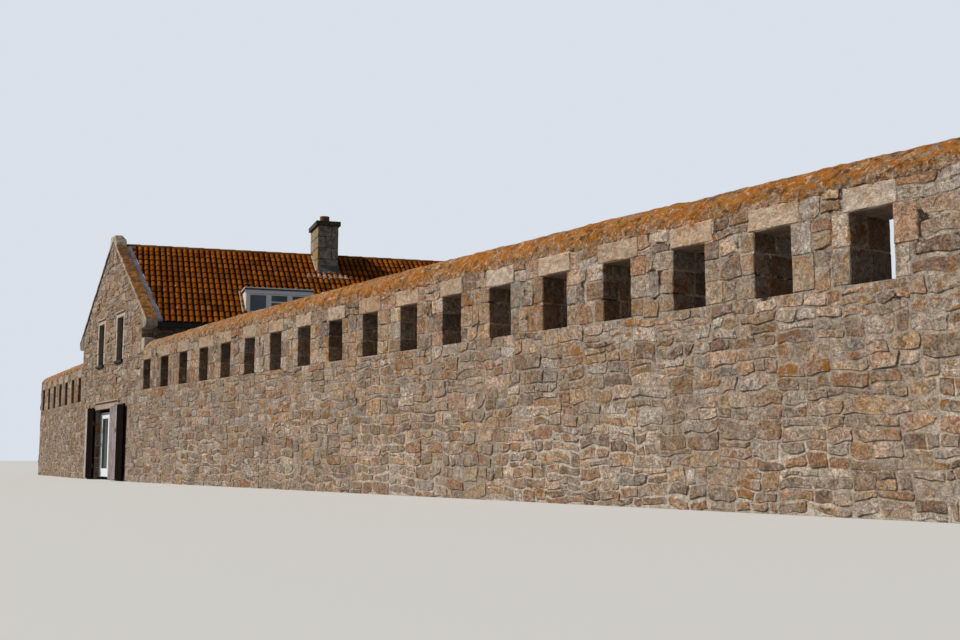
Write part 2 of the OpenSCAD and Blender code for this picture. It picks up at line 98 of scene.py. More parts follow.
SIDE_HEAD = 2.15
SIDE_LINTEL = 0.22
LINTEL_END = 0.15
SILL_END = 0.07
STACK = (-0.35, 0.9, 5.85, 6.46)
STACK_FOOT = 5.9
STACK_TOP = 7.61
DORMER_Y = 3.48
DORMER_W = 1.82
DORMER_END = DORMER_Y + DORMER_W
DORMER_X = 3.2
DORMER_Z = 5.285
DORMER_BACK = (RIDGE_Z - DORMER_Z) / RISE
DORMER_ROOF_T = 0.06
DORMER_RAIL = 0.08
DORMER_HEAD = 0.11
DORMER_EAVE = 0.04
LEAF_FRONT = -0.09
LEAF_BACK = -0.04
LEAF_FOOT = 0.025
LEAF_TOP = 2.13
LEFT_LEAF = (-6.058, -4.978)
LILAC_LEAF = (-2.9, -2.08)
DARK_LEAF = (-2.055, -1.31)
BOARD_W = 0.13
GATE_PIN = (-4.95, -0.065)
KNUCKLES = ((0.38, 0.45), (1.64, 1.71))
GLAZED_DOOR = (-4.924, -3.964, 0.086, 1.909)
GLAZED_FRONT = 0.15
STILE = 0.11
BOTTOM_RAIL = 0.22
TILE_W = 0.32
GAUGE = 0.33
LAP = 0.05
TILE_T = 0.016
OVERHANG = 0.03
SLOPE = math.atan(RISE)
JOINT = 0.005
STONE_DEPTH = 0.03
SMALLEST_STONE = 0.0012
STRAIGHT_RIM = 0.15
JAMB_REACH = (0.17, 0.38)
NARROWEST = 0.06
SLIVER = 0.03
PLAIN_CUTS = 2


# Places: each has X to the right along a face and Y running inwards

def turned(x, y, degrees):
    """A place at a point of the ground, turned round Z."""
    return Matrix.Translation((x, y, 0)) @ Matrix.Rotation(math.radians(degrees), 4, "Z")


WALL = Matrix()
GABLE = turned(WALL_START, 0, -GABLE_TURN)
RIDGE = GABLE @ turned(-GABLE_W / 2, 0, -RIDGE_SKEW)
CORNER = GABLE @ Vector((-GABLE_W, 0, 0))
LEFT = turned(CORNER.x, CORNER.y, -LEFT_TURN)


def face(place, x, y, heading):
    """A flat face: X runs along it, Y up and Z straight out of it. Heading 0 faces -Y, 90 faces +X."""
    return place @ turned(x, y, heading) @ Matrix.Rotation(math.radians(90), 4, "X")


# Shader expressions

class Value:
    """A shader socket that arithmetic works on."""

    def __init__(self, finish, socket):
        self.finish = finish
        self.socket = socket

    def math(self, operation, *others):
        """One Math node of this value and others."""
        values = dict(enumerate((self, *others)))
        return self.finish.add("ShaderNodeMath", {"operation": operation}, values)

    def __add__(self, other):
        return self.math("ADD", other)

    def __mul__(self, other):
        return self.math("MULTIPLY", other)

    def __sub__(self, other):
        return self.math("SUBTRACT", other)

    def __rsub__(self, other):
        return self.finish.add("ShaderNodeMath", {"operation": "SUBTRACT"}, {0: other, 1: self})

    def band(self, low, high, start=0.0, end=1.0):
        """Rises from start to end as the value goes from low to high, and stays there."""
        return self.finish.add("ShaderNodeMapRange", {"clamp": True},
                               {0: self, 1: low, 2: high, 3: start, 4: end})

    __radd__ = __add__
    __rmul__ = __mul__


class Finish:
    """A procedural material made with one Principled shader."""

    def __init__(self, name, roughness=0.85, metallic=0.0):
        self.material = bpy.data.materials.new(name)
        self.material.use_nodes = True
        self.tree = self.material.node_tree
        self.shader = self.tree.nodes["Principled BSDF"]
        self.shader.inputs["Roughness"].default_value = roughness
        self.shader.inputs["Metallic"].default_value = metallic
        self.shader.inputs["Specular IOR Level"].default_value = 0.25
        self.place = self.add("ShaderNodeTexCoord", out="Object")
        self.height = self.along("Z", self.place)
        self.across = self.along("X", self.place)

    def add(self, kind, settings=None, values=None, out=0):
        """Adds a node with its settings, then its inputs as numbers or links, and returns one output."""
        node = self.tree.nodes.new(kind)
        for key, setting in (settings or {}).items():
            if key == "stops":
                self.set_stops(node.color_ramp, setting)
            else:
                setattr(node, key, setting)
        for key, value in (values or {}).items():
            if isinstance(value, Value):
                self.tree.links.new(value.socket, node.inputs[key])
            else:
                node.inputs[key].default_value = value
        return Value(self, node.outputs[out])

    def set_stops(self, ramp, stops):
        while len(ramp.elements) < len(stops):
            ramp.elements.new(0.5)
        for element, (position, colour) in zip(ramp.elements, stops):
            element.position = position
            element.color = (*colour, 1)

    def speckle(self, scale, detail, roughness, where=None, distortion=0.0):
        """Noise of some 0.3 to 0.7; a greater scale makes finer spots."""
        return self.add("ShaderNodeTexNoise", None,
                        {"Vector": where or self.place, "Scale": scale, "Detail": detail,
                         "Roughness": roughness, "Distortion": distortion})

    def along(self, axis, vector):
        """One coordinate of a vector."""
        return self.add("ShaderNodeSeparateXYZ", None, {0: vector}, out=axis)

    def stretched(self, x, y, z):
        """The place scaled along each axis: a pattern read there is drawn out where the number is small."""
        return self.add("ShaderNodeVectorMath", {"operation": "MULTIPLY"}, {0: self.place, 1: (x, y, z)})

    def attribute(self, name):
        """A number that the mesh carries."""
        return self.add("ShaderNodeAttribute", {"attribute_name": name}, out="Fac")

    def ramp(self, value, *stops):
        return self.add("ShaderNodeValToRGB", {"stops": stops}, {0: value})

    def blend(self, amount, first, second):
        """Colour first where amount is 0 and second where it is 1."""
        def colour(c):
            return c if isinstance(c, Value) else (*c, 1)
        return self.add("ShaderNodeMix", {"data_type": "RGBA", "clamp_factor": True},
                        {0: amount, 6: colour(first), 7: colour(second)}, out=2)

    def shade(self, colour, value):
        """The colour made lighter or darker by a value round 1."""
        return self.add("ShaderNodeVectorMath", {"operation": "SCALE"}, {0: colour, "Scale": value})

    def facing(self, axis):
        """How far a face turns towards an axis: for Z it is 1 on a level face and 0 on an upright one."""
        return self.along(axis, self.add("ShaderNodeNewGeometry", out="Normal"))

    def wear(self, colour, roughness=None, bump=None, distance=0.01, strength=1.0):
        """Ends the finish: its colour and, where given, its roughness and its relief."""
        links, sockets = self.tree.links, self.shader.inputs
        links.new(colour.socket, sockets["Base Color"])
        if roughness:
            links.new(roughness.socket, sockets["Roughness"])
        if bump:
            normal = self.add("ShaderNodeBump", None,
                              {"Height": bump, "Distance": distance, "Strength": strength}, out="Normal")
            links.new(normal.socket, sockets["Normal"])
        return self.material


# Finishes: stone

LICHEN = (0.40, 0.15, 0.012)
PALE_LICHEN = (0.44, 0.41, 0.35)
MORTAR = (0.50, 0.405, 0.32)
POINTING = (0.72, 0.61, 0.50)
# Painted shade: the near-black of the open gaps where the pointing has fallen out
CREVICE_SHADE = (0.055, 0.038, 0.024)
# Left of the first the gable coping's front edge is painted dark with shade, and above the second the side
# walls take painted shade under the eaves
RAKE_SHADE = -4.3
EAVES_SHADE = 3.3


def crevices(f):
    """Where the pointing has fallen out, mostly in the upper part of the walls; the open gaps are painted
    near black with the shade in them.
    """
    loss = f.height.band(1.3, 3.0, -0.09, 0.025) + f.height.band(3.5, 4.0, 0.0, -0.02)
    return (f.speckle(3.2, 5.0, 0.7) + loss).band(0.53, 0.60)


def paler_to_the_right(f, colour, left=0.71):
    """The walls are made darker towards the far left end and paler towards the far right one."""
    return f.shade(colour, f.across.band(LEFT_END, WALL_END, left, 1.05))


def pointing(f, rough):
    """Mortar in the joints: grey-brown, and nearly white where it was renewed low on the wall."""
    renewed = (f.speckle(0.7, 3.0, 0.6) + f.height.band(0.5, 1.7, 0.08, -0.08)).band(0.50, 0.58)
    return f.shade(f.blend(renewed, MORTAR, POINTING), rough)


def pitted(f, colour, scale, depth):
    """Small pits and chips, painted dark with the shade that falls in their hollows."""
    pits = f.speckle(scale, 4.0, 0.75)
    return f.blend(pits.band(0.40, 0.30, 0.0, depth), colour, (0.09, 0.06, 0.035)), pits


def granite_colour(f, tone):
    """Each stone takes its own colour from tone, mottled, with painted light and shade on the rough facets
    of its relief like hewn granite.
    """
    body = f.ramp(tone, (0.0, (0.66, 0.46, 0.30)), (0.12, (0.64, 0.41, 0.22)), (0.22, (0.50, 0.25, 0.135)),
                  (0.32, (0.70, 0.51, 0.37)), (0.44, (0.45, 0.30, 0.21)), (0.54, (0.70, 0.50, 0.32)),
                  (0.66, (0.60, 0.52, 0.45)), (0.78, (0.80, 0.66, 0.53)), (0.88, (0.62, 0.34, 0.17)),
                  (0.95, (0.68, 0.49, 0.37)), (1.0, (0.40, 0.27, 0.215)))
    body = f.shade(body, (tone * 7.3).math("FRACT").band(0.0, 1.0, 0.58, 1.38))
    mottle = f.speckle(4.2, 6.0, 0.72, distortion=0.4)
    body = f.blend(mottle.band(0.52, 0.60, 0.0, 0.70), body, (0.68, 0.565, 0.465))
    body = f.blend(mottle.band(0.48, 0.39, 0.0, 0.65), body, (0.56, 0.32, 0.155))
    body, pits = pitted(f, body, 22.0, 0.85)
    grain = f.speckle(50.0, 4.0, 0.85)
    body = f.shade(body, grain.band(0.34, 0.66, 0.5, 1.4))
    # Painted light and shade: the facets that raise the relief also lighten and darken the colour
    facets = f.speckle(13.0, 8.0, 0.85, distortion=1.3)
    body = f.shade(body, facets.band(0.38, 0.60, 0.22, 1.38))
    return body, mottle, grain, pits, facets


def lichened(f, colour, amount):
    """Orange and pale lichen in spots; amount is how much of the surface it takes."""
    spread = f.speckle(1.1, 4.0, 0.6)
    spots = f.speckle(8.0, 4.0, 0.62, distortion=0.4)
    orange = (spots + (spread - 0.5) * 0.9 + amount).band(0.66, 0.74)
    pale_spots = f.speckle(6.3, 5.0, 0.65, where=f.stretched(1.0, 1.3, 0.9))
    pale = (pale_spots + amount * 0.4).band(0.62, 0.72, 0.0, 0.75)
    colour = f.blend(pale, colour, PALE_LICHEN)
    return f.blend(orange * 0.85, colour, LICHEN)


def in_shade(f, colour):
    """Painted shade on the faces inside an opening, and on the side walls high under the eaves."""
    return f.shade(colour, f.attribute("inside").band(0.0, 1.0, 1.0, 0.60))


def rubble_finish():
    """Granite rubble; towards the rim of a stone the pointing laps over it in places, and elsewhere a gap
    opens that is painted dark with shade.
    """
    f = Finish("rubble granite", roughness=0.9)
    colour, mottle, grain, pits, facets = granite_colour(f, f.attribute("tone"))
    smear = f.speckle(2.6, 8.0, 0.8, distortion=0.7) + f.height.band(0.8, 3.2, 0.03, -0.012)
    # The grain part is the stone's own speckle; the facets part is painted light and shade on the relief
    rough = grain.band(0.34, 0.66, 0.58, 1.34) * facets.band(0.38, 0.60, 0.45, 1.25)
    colour = f.blend(smear.band(0.545, 0.575, 0.0, 0.82), colour, f.shade(MORTAR, rough))
    colour = lichened(f, colour, f.height.band(0.8, 3.2, 0.015, 0.06))
    ragged = f.speckle(22.0, 5.0, 0.8)
    rim = (f.attribute("rim") + (ragged - 0.5) * 2.4).band(0.50, 0.85)
    # Painted shade: rims where the pointing has fallen out take the near-black of the gaps
    colour = f.blend(rim * 0.85, colour, f.blend(crevices(f), pointing(f, rough), CREVICE_SHADE))
    height = mottle * 0.5 + grain * 0.2 + facets * 0.9 + pits * 0.35
    return f.wear(in_shade(f, paler_to_the_right(f, colour)), bump=height, distance=0.05)


def mortar_finish():
    """What shows between and behind the stones."""
    f = Finish("lime mortar", roughness=0.95)
    sand = f.speckle(60.0, 4.0, 0.7)
    colour = pointing(f, 1.0)
    colour, pits = pitted(f, colour, 24.0, 0.8)
    colour = f.blend(crevices(f), colour, CREVICE_SHADE)
    # Painted light and shade on the relief, together with the sand's own grain
    facets = f.speckle(13.0, 8.0, 0.85, distortion=1.3)
    colour = f.shade(colour, sand.band(0.34, 0.66, 0.6, 1.32) * facets.band(0.38, 0.60, 0.45, 1.25))
    height = facets + sand * 0.4 + pits * 0.5 + f.speckle(12.0, 4.0, 0.6)
    return f.wear(paler_to_the_right(f, colour), bump=height, distance=0.03, strength=0.9)


def dressed_finish():
    """The lintels: squared stone, paler and plainer than the rubble."""
    f = Finish("dressed granite", roughness=0.88)
    tone = f.attribute("tone")
    body = f.ramp(tone, (0.0, (0.52, 0.385, 0.27)), (0.3, (0.62, 0.485, 0.37)), (0.6, (0.54, 0.365, 0.23)),
                  (0.8, (0.66, 0.525, 0.41)), (1.0, (0.48, 0.41, 0.35)))
    mottle = f.speckle(5.5, 5.0, 0.65)
    body = f.blend(mottle.band(0.50, 0.64, 0.0, 0.6), body, (0.47, 0.26, 0.12))
    # Painted light and shade: the facets that raise the relief also lighten and darken the colour
    facets = f.speckle(10.0, 6.0, 0.75, distortion=0.9)
    body = f.shade(body, facets.band(0.34, 0.66, 0.62, 1.38))
    body, pits = pitted(f, body, 34.0, 0.9)
    grain = f.speckle(64.0, 3.0, 0.7)
    body = f.shade(body, grain.band(0.3, 0.7, 0.72, 1.24))
    body = lichened(f, body, f.height.band(3.2, 3.45, -0.02, 0.05))
    height = facets + grain * 0.25 + pits * 0.5
    return f.wear(in_shade(f, paler_to_the_right(f, body, 0.72)), bump=height, distance=0.035)


def coping_finish():
    """Mortar weathering under orange lichen, which thins out to grey, white and pink at its foot."""
    f = Finish("lichened coping", roughness=0.93)
    spread = f.speckle(1.1, 4.0, 0.6)
    spots = f.speckle(7.5, 8.0, 0.8, distortion=0.9)
    fine = f.speckle(34.0, 5.0, 0.8)
    mortar = f.blend(f.speckle(3.6, 6.0, 0.75).band(0.42, 0.60), (0.29, 0.19, 0.11), (0.47, 0.325, 0.205))
    rust = f.blend(fine.band(0.38, 0.62), (0.62, 0.205, 0.004), (0.36, 0.115, 0.004))
    ochre = f.speckle(5.2, 6.0, 0.75, where=f.stretched(0.9, 1.2, 1.1))
    rust = f.blend(ochre.band(0.53, 0.62, 0.0, 0.85), rust, (0.50, 0.26, 0.06))
    foot = f.height.band(3.42, 3.60, -0.08, 0.03)
    house = f.across.band(-7.0, -1.0, -0.01, -0.06) + f.across.band(0.0, 13.0, 0.0, 0.085)
    cover = (spots * 1.1 + spread * 0.4 + foot + house).band(0.722, 0.757)
    colour = f.blend(cover * 0.96, mortar, rust)
    crust = f.speckle(10.0, 8.0, 0.82, where=f.stretched(1.1, 0.9, 1.2), distortion=0.7)
    colour = f.blend((crust - foot * 0.35).band(0.545, 0.572, 0, 0.95), colour, (0.75, 0.49, 0.33))
    moss = f.speckle(8.5, 7.0, 0.8, where=f.stretched(0.8, 1.1, 1.0))
    colour = f.blend(moss.band(0.54, 0.57, 0, 0.9), colour, (0.11, 0.062, 0.024))
    colour, pits = pitted(f, colour, 20.0, 0.85)
    colour = f.shade(colour, fine.band(0.34, 0.66, 0.42, 1.52))
    return f.wear(colour, bump=spots * 1.2 + fine * 0.6 + pits * 0.7, distance=0.05)


def rake_finish():
    """The gable coping: brown and orange on top; its front edge is pale, and painted dark with shade on the
    left rake.
    """
    f = Finish("rake coping", roughness=0.93)
    spots = f.speckle(6.0, 5.0, 0.68, distortion=0.5)
    fine = f.speckle(30.0, 4.0, 0.75)
    top = f.blend(spots.band(0.44, 0.56), (0.11, 0.05, 0.016), (0.32, 0.115, 0.009))
    moss = f.speckle(2.6, 6.0, 0.75, where=f.stretched(1.0, 0.8, 1.2))
    top = f.blend(moss.band(0.55, 0.60, 0.0, 0.8), top, (0.07, 0.045, 0.02))
    top = f.blend(moss.band(0.42, 0.36, 0.0, 0.7), top, (0.30, 0.24, 0.19))
    top = f.shade(top, f.height.band(6.1, 6.6, 1.0, 0.6))
    edge = f.blend(spots.band(0.42, 0.60), (0.30, 0.23, 0.165), (0.47, 0.40, 0.32))
    # Painted shade on the front edge of the left rake
    painted_shade_edge = f.blend(spots.band(0.40, 0.56), (0.035, 0.024, 0.014), (0.13, 0.095, 0.06))
    edge = f.blend(f.across.band(RAKE_SHADE, RAKE_SHADE + 0.1), painted_shade_edge, edge)
    colour = f.blend(f.facing("Z").band(0.25, 0.55), edge, top)
    colour = f.shade(colour, fine.band(0.3, 0.7, 0.7, 1.28))
    return f.wear(colour, bump=spots + fine * 0.5, distance=0.03, strength=0.9)


def chimney_finish():
    """Brown blocks, yellow with lichen low on the sunny side; the other sides are weathered grey, painted
    greyer and darker with shade.
    """
    f = Finish("chimney granite", roughness=0.9)
    body = f.ramp(f.attribute("tone"), (0.0, (0.35, 0.25, 0.15)), (0.4, (0.42, 0.32, 0.21)),
                  (0.7, (0.30, 0.23, 0.16)), (1.0, (0.38, 0.30, 0.215)))
    mottle = f.speckle(6.0, 4.0, 0.6)
    body = f.blend(mottle.band(0.45, 0.32, 0.0, 0.6), body, (0.15, 0.125, 0.085))
    sunny = f.facing("Y").band(-0.5, -0.8)
    yellow = (f.speckle(5.0, 5.0, 0.7) + f.height.band(7.1, 6.5, -0.12, 0.20)).band(0.53, 0.60, 0, 0.85)
    weathered = f.speckle(8.0, 7.0, 0.8, distortion=0.5)
    # Painted shade: the sides away from the sun take a greyer, darker colour than the sunny one
    shaded = f.blend(weathered.band(0.44, 0.57), (0.145, 0.125, 0.10), (0.39, 0.335, 0.285))
    body = f.blend(yellow * sunny, f.blend(sunny, shaded, f.shade(body, 0.92)), (0.36, 0.225, 0.035))
    body, pits = pitted(f, body, 24.0, 0.8)
    grain = f.speckle(40.0, 4.0, 0.75)
    body = f.shade(body, grain.band(0.32, 0.68, 0.6, 1.35))
    return f.wear(body, bump=weathered + grain * 0.4 + pits * 0.5, distance=0.03)


def plain_stone(name, colour, dark, scale, lichen=None, inside=False, paler_above=None):
    """Any stone, clay or felt of two colours in clouds."""
    f = Finish(name, roughness=0.88)
    mottle = f.speckle(scale, 5.0, 0.65)
    grain = f.speckle(55.0, 3.0, 0.7)
    body = f.blend(mottle.band(0.38, 0.62), dark, colour)
    if lichen is not None:
        body = lichened(f, body, lichen)
    if paler_above is not None:
        body = f.shade(body, f.height.band(paler_above, paler_above + 0.2, 1.0, 1.6))
    if inside:
        body = in_shade(f, body)
    body = f.shade(body, grain.band(0.3, 0.7, 0.8, 1.18))
    return f.wear(body, bump=mottle * 0.5 + grain * 0.3, distance=0.012, strength=0.8)


# Finishes: roof, metal, timber, glass

def tile_finish(name, colour, dark, bloom):
    """Fired clay: every tile a little different, painted black with shade in the pans and under each
    course's lap.
    """
    f = Finish(name, roughness=0.82)
    f.shader.inputs["Specular IOR Level"].default_value = 0.02
    body = f.ramp(f.attribute("tone"), (0.0, dark), (0.45, colour), (1.0, bloom))
    blotch = f.speckle(2.4, 4.0, 0.6)
    body = f.blend(blotch.band(0.52, 0.7, 0.0, 0.45), body, dark)
    # Painted shade in the pans and under the laps, broken up by noise
    stain = (f.speckle(20.0, 4.0, 0.65) * 0.5 + f.attribute("dirt")).band(0.40, 0.95, 0.0, 0.96)
    body = f.blend(stain, body, (0.010, 0.005, 0.002))
    fine = f.speckle(70.0, 3.0, 0.6)
    body = f.shade(body, fine.band(0.3, 0.7, 0.75, 1.22))
    crust = (f.speckle(11.0, 4.0, 0.65) + f.attribute("bloom") * 0.14).band(0.62, 0.70, 0.0, 0.8)
    body = f.blend(crust, body, (0.40, 0.31, 0.27))
    return f.wear(body, bump=fine + blotch, distance=0.005, strength=0.6)


def painted(name, colour, grime):
    """Paint with run-down grime."""
    f = Finish(name)
    streak = f.speckle(3.0, 4.0, 0.6, where=f.stretched(6.0, 6.0, 0.7))
    fine = f.speckle(45.0, 3.0, 0.6)
    body = f.blend(streak.band(0.5, 0.75, 0.0, 0.35), colour, grime)
    body = f.shade(body, fine.band(0.3, 0.7, 0.95, 1.04))
    return f.wear(body, fine.band(0.3, 0.7, 0.42, 0.62), bump=fine * 0.5 + streak, distance=0.002,
                  strength=0.5)


def sheet_metal(name, colour, stain, roughness, metallic=0.0):
    """Lead, gutters and ironwork: clouded with stain, which is also where the shine goes."""
    f = Finish(name, roughness=roughness, metallic=metallic)
    cloud = f.speckle(4.0, 5.0, 0.65)
    fine = f.speckle(30.0, 3.0, 0.6)
    body = f.blend(cloud.band(0.42, 0.66, 0.0, 0.8), colour, stain)
    return f.wear(body, cloud.band(0.3, 0.7, roughness - 0.1, roughness + 0.15), bump=cloud + fine * 0.3,
                  distance=0.006, strength=0.6)


def board_finish(name, colour, dark, grain_axis=(9.0, 9.0, 0.5), gloss=0.25):
    """Weathered boards: long grain, and each board its own tone."""
    f = Finish(name, roughness=0.8)
    f.shader.inputs["Specular IOR Level"].default_value = gloss
    grain = f.speckle(9.0, 5.0, 0.65, where=f.stretched(*grain_axis))
    tone = f.attribute("tone")
    body = f.blend(tone.band(0.0, 1.0, 0.0, 0.5), colour, dark)
    body = f.blend(grain.band(0.48, 0.66, 0.0, 0.85), body, dark)
    body = f.shade(body, f.speckle(5.0, 5.0, 0.7).band(0.35, 0.65, 0.72, 1.26))
    return f.wear(body, bump=grain, distance=0.004, strength=0.8)


def glass_finish(name, colour, roughness=0.06, dark_left_of=None):
    """A dark pane; part of one may have nothing pale behind it and is darker still."""
    f = Finish(name, roughness=roughness)
    cloud = f.speckle(1.3, 2.0, 0.5)
    f.shader.inputs["Specular IOR Level"].default_value = 0.5
    body = f.blend(cloud.band(0.35, 0.65), colour, tuple(c * 0.6 for c in colour))
    if dark_left_of is not None:
        body = f.shade(body, f.across.band(dark_left_of, dark_left_of + 0.02, 0.25, 1.0))
    return f.wear(body, cloud.band(0.3, 0.7, roughness, roughness + 0.06))


RUBBLE = rubble_finish()
LIME = mortar_finish()
DRESSED = dressed_finish()
COPING = coping_finish()
RAKE_COPING = rake_finish()
CHIMNEY = chimney_finish()
TILE = tile_finish("roof tile", (0.203, 0.050, 0.0012), (0.107, 0.026, 0.001), (0.295, 0.087, 0.003))
RIDGE_TILE = tile_finish("ridge tile", (0.20, 0.085, 0.014), (0.09, 0.04, 0.010), (0.27, 0.125, 0.022))
CAST = plain_stone("cast lintel", (0.44, 0.34, 0.265), (0.34, 0.25, 0.185), 3.0)
# The margins take painted shade where they lie within the window openings
MARGIN = plain_stone("pale margin", (0.50, 0.42, 0.34), (0.40, 0.32, 0.25), 6.0, inside=True)
DARK_STONE = plain_stone("shaded stone", (0.16, 0.12, 0.08), (0.07, 0.055, 0.04), 6.0, -0.05)
GREY_STONE = plain_stone("grey dressed stone", (0.34, 0.295, 0.24), (0.14, 0.115, 0.085), 5.0, -0.03,
                         paler_above=6.2)
CAP = plain_stone("chimney cap", (0.075, 0.075, 0.045), (0.03, 0.034, 0.022), 7.0)
SLATE = plain_stone("slate sill", (0.040, 0.040, 0.040), (0.018, 0.018, 0.018), 8.0)
FLAGS = plain_stone("floor flags", (0.34, 0.32, 0.29), (0.24, 0.22, 0.20), 2.0)
FILLET = plain_stone("chimney fillet", (0.47, 0.37, 0.33), (0.24, 0.26, 0.19), 9.0)
TERRACOTTA = plain_stone("terracotta", (0.24, 0.085, 0.05), (0.12, 0.045, 0.03), 9.0)
LEAD = sheet_metal("lead", (0.56, 0.58, 0.66), (0.25, 0.255, 0.30), 0.6)
APRON = sheet_metal("dark lead", (0.065, 0.07, 0.075), (0.11, 0.12, 0.125), 0.65)
GUTTER = sheet_metal("black gutter", (0.012, 0.012, 0.014), (0.035, 0.035, 0.035), 0.5)
FELT = plain_stone("roofing felt", (0.10, 0.11, 0.12), (0.045, 0.05, 0.055), 4.0)
IRON = sheet_metal("rusted iron", (0.05, 0.035, 0.028), (0.12, 0.05, 0.02), 0.7, metallic=0.4)
BLACK = sheet_metal("black handle", (0.012, 0.012, 0.013), (0.03, 0.03, 0.03), 0.4)
WHITE = painted("white paint", (0.84, 0.87, 0.91), (0.56, 0.58, 0.60))
FASCIA = painted("fascia paint", (0.76, 0.78, 0.88), (0.50, 0.50, 0.56))
DARK_PAINT = painted("dark paint", (0.035, 0.04, 0.035), (0.07, 0.07, 0.06))
CHEEK = painted("white boarding", (0.74, 0.72, 0.68), (0.46, 0.43, 0.38))
PALE_BOARDS = board_finish("lilac grey boards", (0.40, 0.345, 0.355), (0.12, 0.09, 0.09), (2.6, 2.6, 0.16))
EDGE_BOARD = board_finish("bleached board", (0.42, 0.39, 0.37), (0.28, 0.25, 0.235))
# Dark boards, painted near black with shade as well
DARK_SHADED_BOARDS = board_finish("dark boards", (0.010, 0.005, 0.004), (0.003, 0.0015, 0.001), gloss=0.02)
DECK = board_finish("floor boards", (0.36, 0.24, 0.14), (0.20, 0.13, 0.08), (9.0, 0.5, 9.0))
GLASS = glass_finish("window glass", (0.035, 0.042, 0.040))
DORMER_GLASS = glass_finish("dormer glass", (0.11, 0.16, 0.21), 0.1)
DOOR_GLASS = glass_finish("door glass", (0.125, 0.15, 0.14), 0.12, dark_left_of=-5.06)

NODE_FINISH = {
    "ridge_tiles": RIDGE_TILE, "kneelers": GREY_STONE, "saddle_stones": GREY_STONE, "lead_flashings": LEAD,
    "box_gutters": GUTTER, "chimney_cap": CAP, "chimney_pot": TERRACOTTA, "dormer_cheeks": CHEEK,
    "dormer_roof": FELT, "dormer_window": WHITE, "dormer_glass": DORMER_GLASS, "gable_window_sills": SLATE,
    "window_frames": DARK_PAINT, "window_glass": GLASS, "door_lintel": CAST, "door_frame": WHITE,
    "glazed_door": WHITE, "left_gate_leaf": DARK_SHADED_BOARDS, "folding_gate_leaves": PALE_BOARDS,
    "gate_pintles": IRON, "ground_floor": FLAGS, "upper_floor": DECK, "near_roof_slope": DARK_STONE,
    "far_roof_slope": DARK_STONE, "chimney_stack": CAP, "gable_window_lintels": MARGIN,
    "long_wall_coping": COPING, "left_wall_coping": COPING, "gable_coping": COPING,
}
for name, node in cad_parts.items():
    for slot in node.material_slots:
        slot.material = NODE_FINISH.get(name, LIME)


# Pieces

def piece(name, bm, finish, body="root", replaces=()):
    """Ends a mesh as a piece of the scene, in the shared frame."""
    bm.normal_update()
    mesh = bpy.data.meshes.new(name)
    bm.to_mesh(mesh)
    bm.free()
    mesh.materials.append(finish)
    made = bpy.data.objects.new(name, mesh)
    bpy.context.collection.objects.link(made)
    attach(made, body)
    if replaces:
        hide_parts(*replaces)
    return made


def new_mesh():
    """Faces carry a tone and how much painted shade they take within an opening, and points whether they
    are at a rim.
    """
    bm = bmesh.new()
    bm.faces.layers.float.new("tone")
    bm.faces.layers.float.new("inside")
    bm.verts.layers.float.new("rim")
    return bm


def join(whole, part):
    """Moves one mesh into another."""
    loose = bpy.data.meshes.new("loose")
    part.to_mesh(loose)
    part.free()
    whole.from_mesh(loose)
    bpy.data.meshes.remove(loose)


def box(bm, low, high, place, value):
    """Adds a box between two corners of a place, its faces all of one tone."""
    low, high = Vector(low), Vector(high)
    shape = place @ Matrix.Translation((low + high) / 2) @ Matrix.Diagonal((*(high - low), 1))
    made = bmesh.ops.create_cube(bm, size=1, matrix=shape)
    tone = bm.faces.layers.float["tone"]
    for f in {f for v in made["verts"] for f in v.link_faces}:
        f[tone] = value


def draw_out(bm, edges, way):
    """Draws faces out into a solid or, where edges are given, a line out into a sheet."""
    if edges:
        made = bmesh.ops.extrude_edge_only(bm, edges=edges)
    else:
        made = bmesh.ops.extrude_face_region(bm, geom=bm.faces[:])
    far = [g for g in made["geom"] if isinstance(g, bmesh.types.BMVert)]
    bmesh.ops.translate(bm, verts=far, vec=way)


def chain(bm, points, closed=False):
    """A line of edges through points."""
    line = [bm.verts.new(point) for point in points]
    return [bm.edges.new(pair) for pair in zip(line, line[1:] + line[:1] if closed else line[1:])]


def cut_through(bm, point, out, remove=True):
    """Cuts a mesh at a plane, takes off what lies beyond it and returns the edges of the cut."""
    made = bmesh.ops.bisect_plane(bm, geom=bm.verts[:] + bm.edges[:] + bm.faces[:], plane_co=point,
                                  plane_no=out, clear_outer=remove)
    return [g for g in made["geom_cut"] if isinstance(g, bmesh.types.BMEdge)]


def cut_off(bm, point, out):
    """Cuts a solid off at a plane and closes it there."""
    bmesh.ops.holes_fill(bm, edges=cut_through(bm, point, out), sides=0)


def bevel(bm, edges, width, segments=1):
    """Eases edges by a width."""
    bmesh.ops.bevel(bm, geom=edges, offset=width, offset_type="OFFSET", segments=segments,
                    affect="EDGES", profile=0.5, material=-1)


def distance_from(hole, point):
    """How far a point of a face lies outside a rectangle of it."""
    x0, x1, z0, z1 = hole
    return math.hypot(max(x0 - point.x, 0, point.x - x1), max(z0 - point.y, 0, point.y - z1))


def wander(point, scale, amount, seed):
    """A smooth random push, the same for everything near the point."""
    return noise.noise_vector(Vector(point) * scale + Vector((seed, seed * 1.7, -seed))) * amount


def lengths(rng, start, end, shortest, longest, rest):
    """Splits a run into uneven lengths. What is left at its end is never shorter than rest."""
    while start < end - SLIVER:
        step = rng.uniform(shortest, longest)
        if end - start - step < rest:
            step = end - start
        yield start, start + step
        start += step


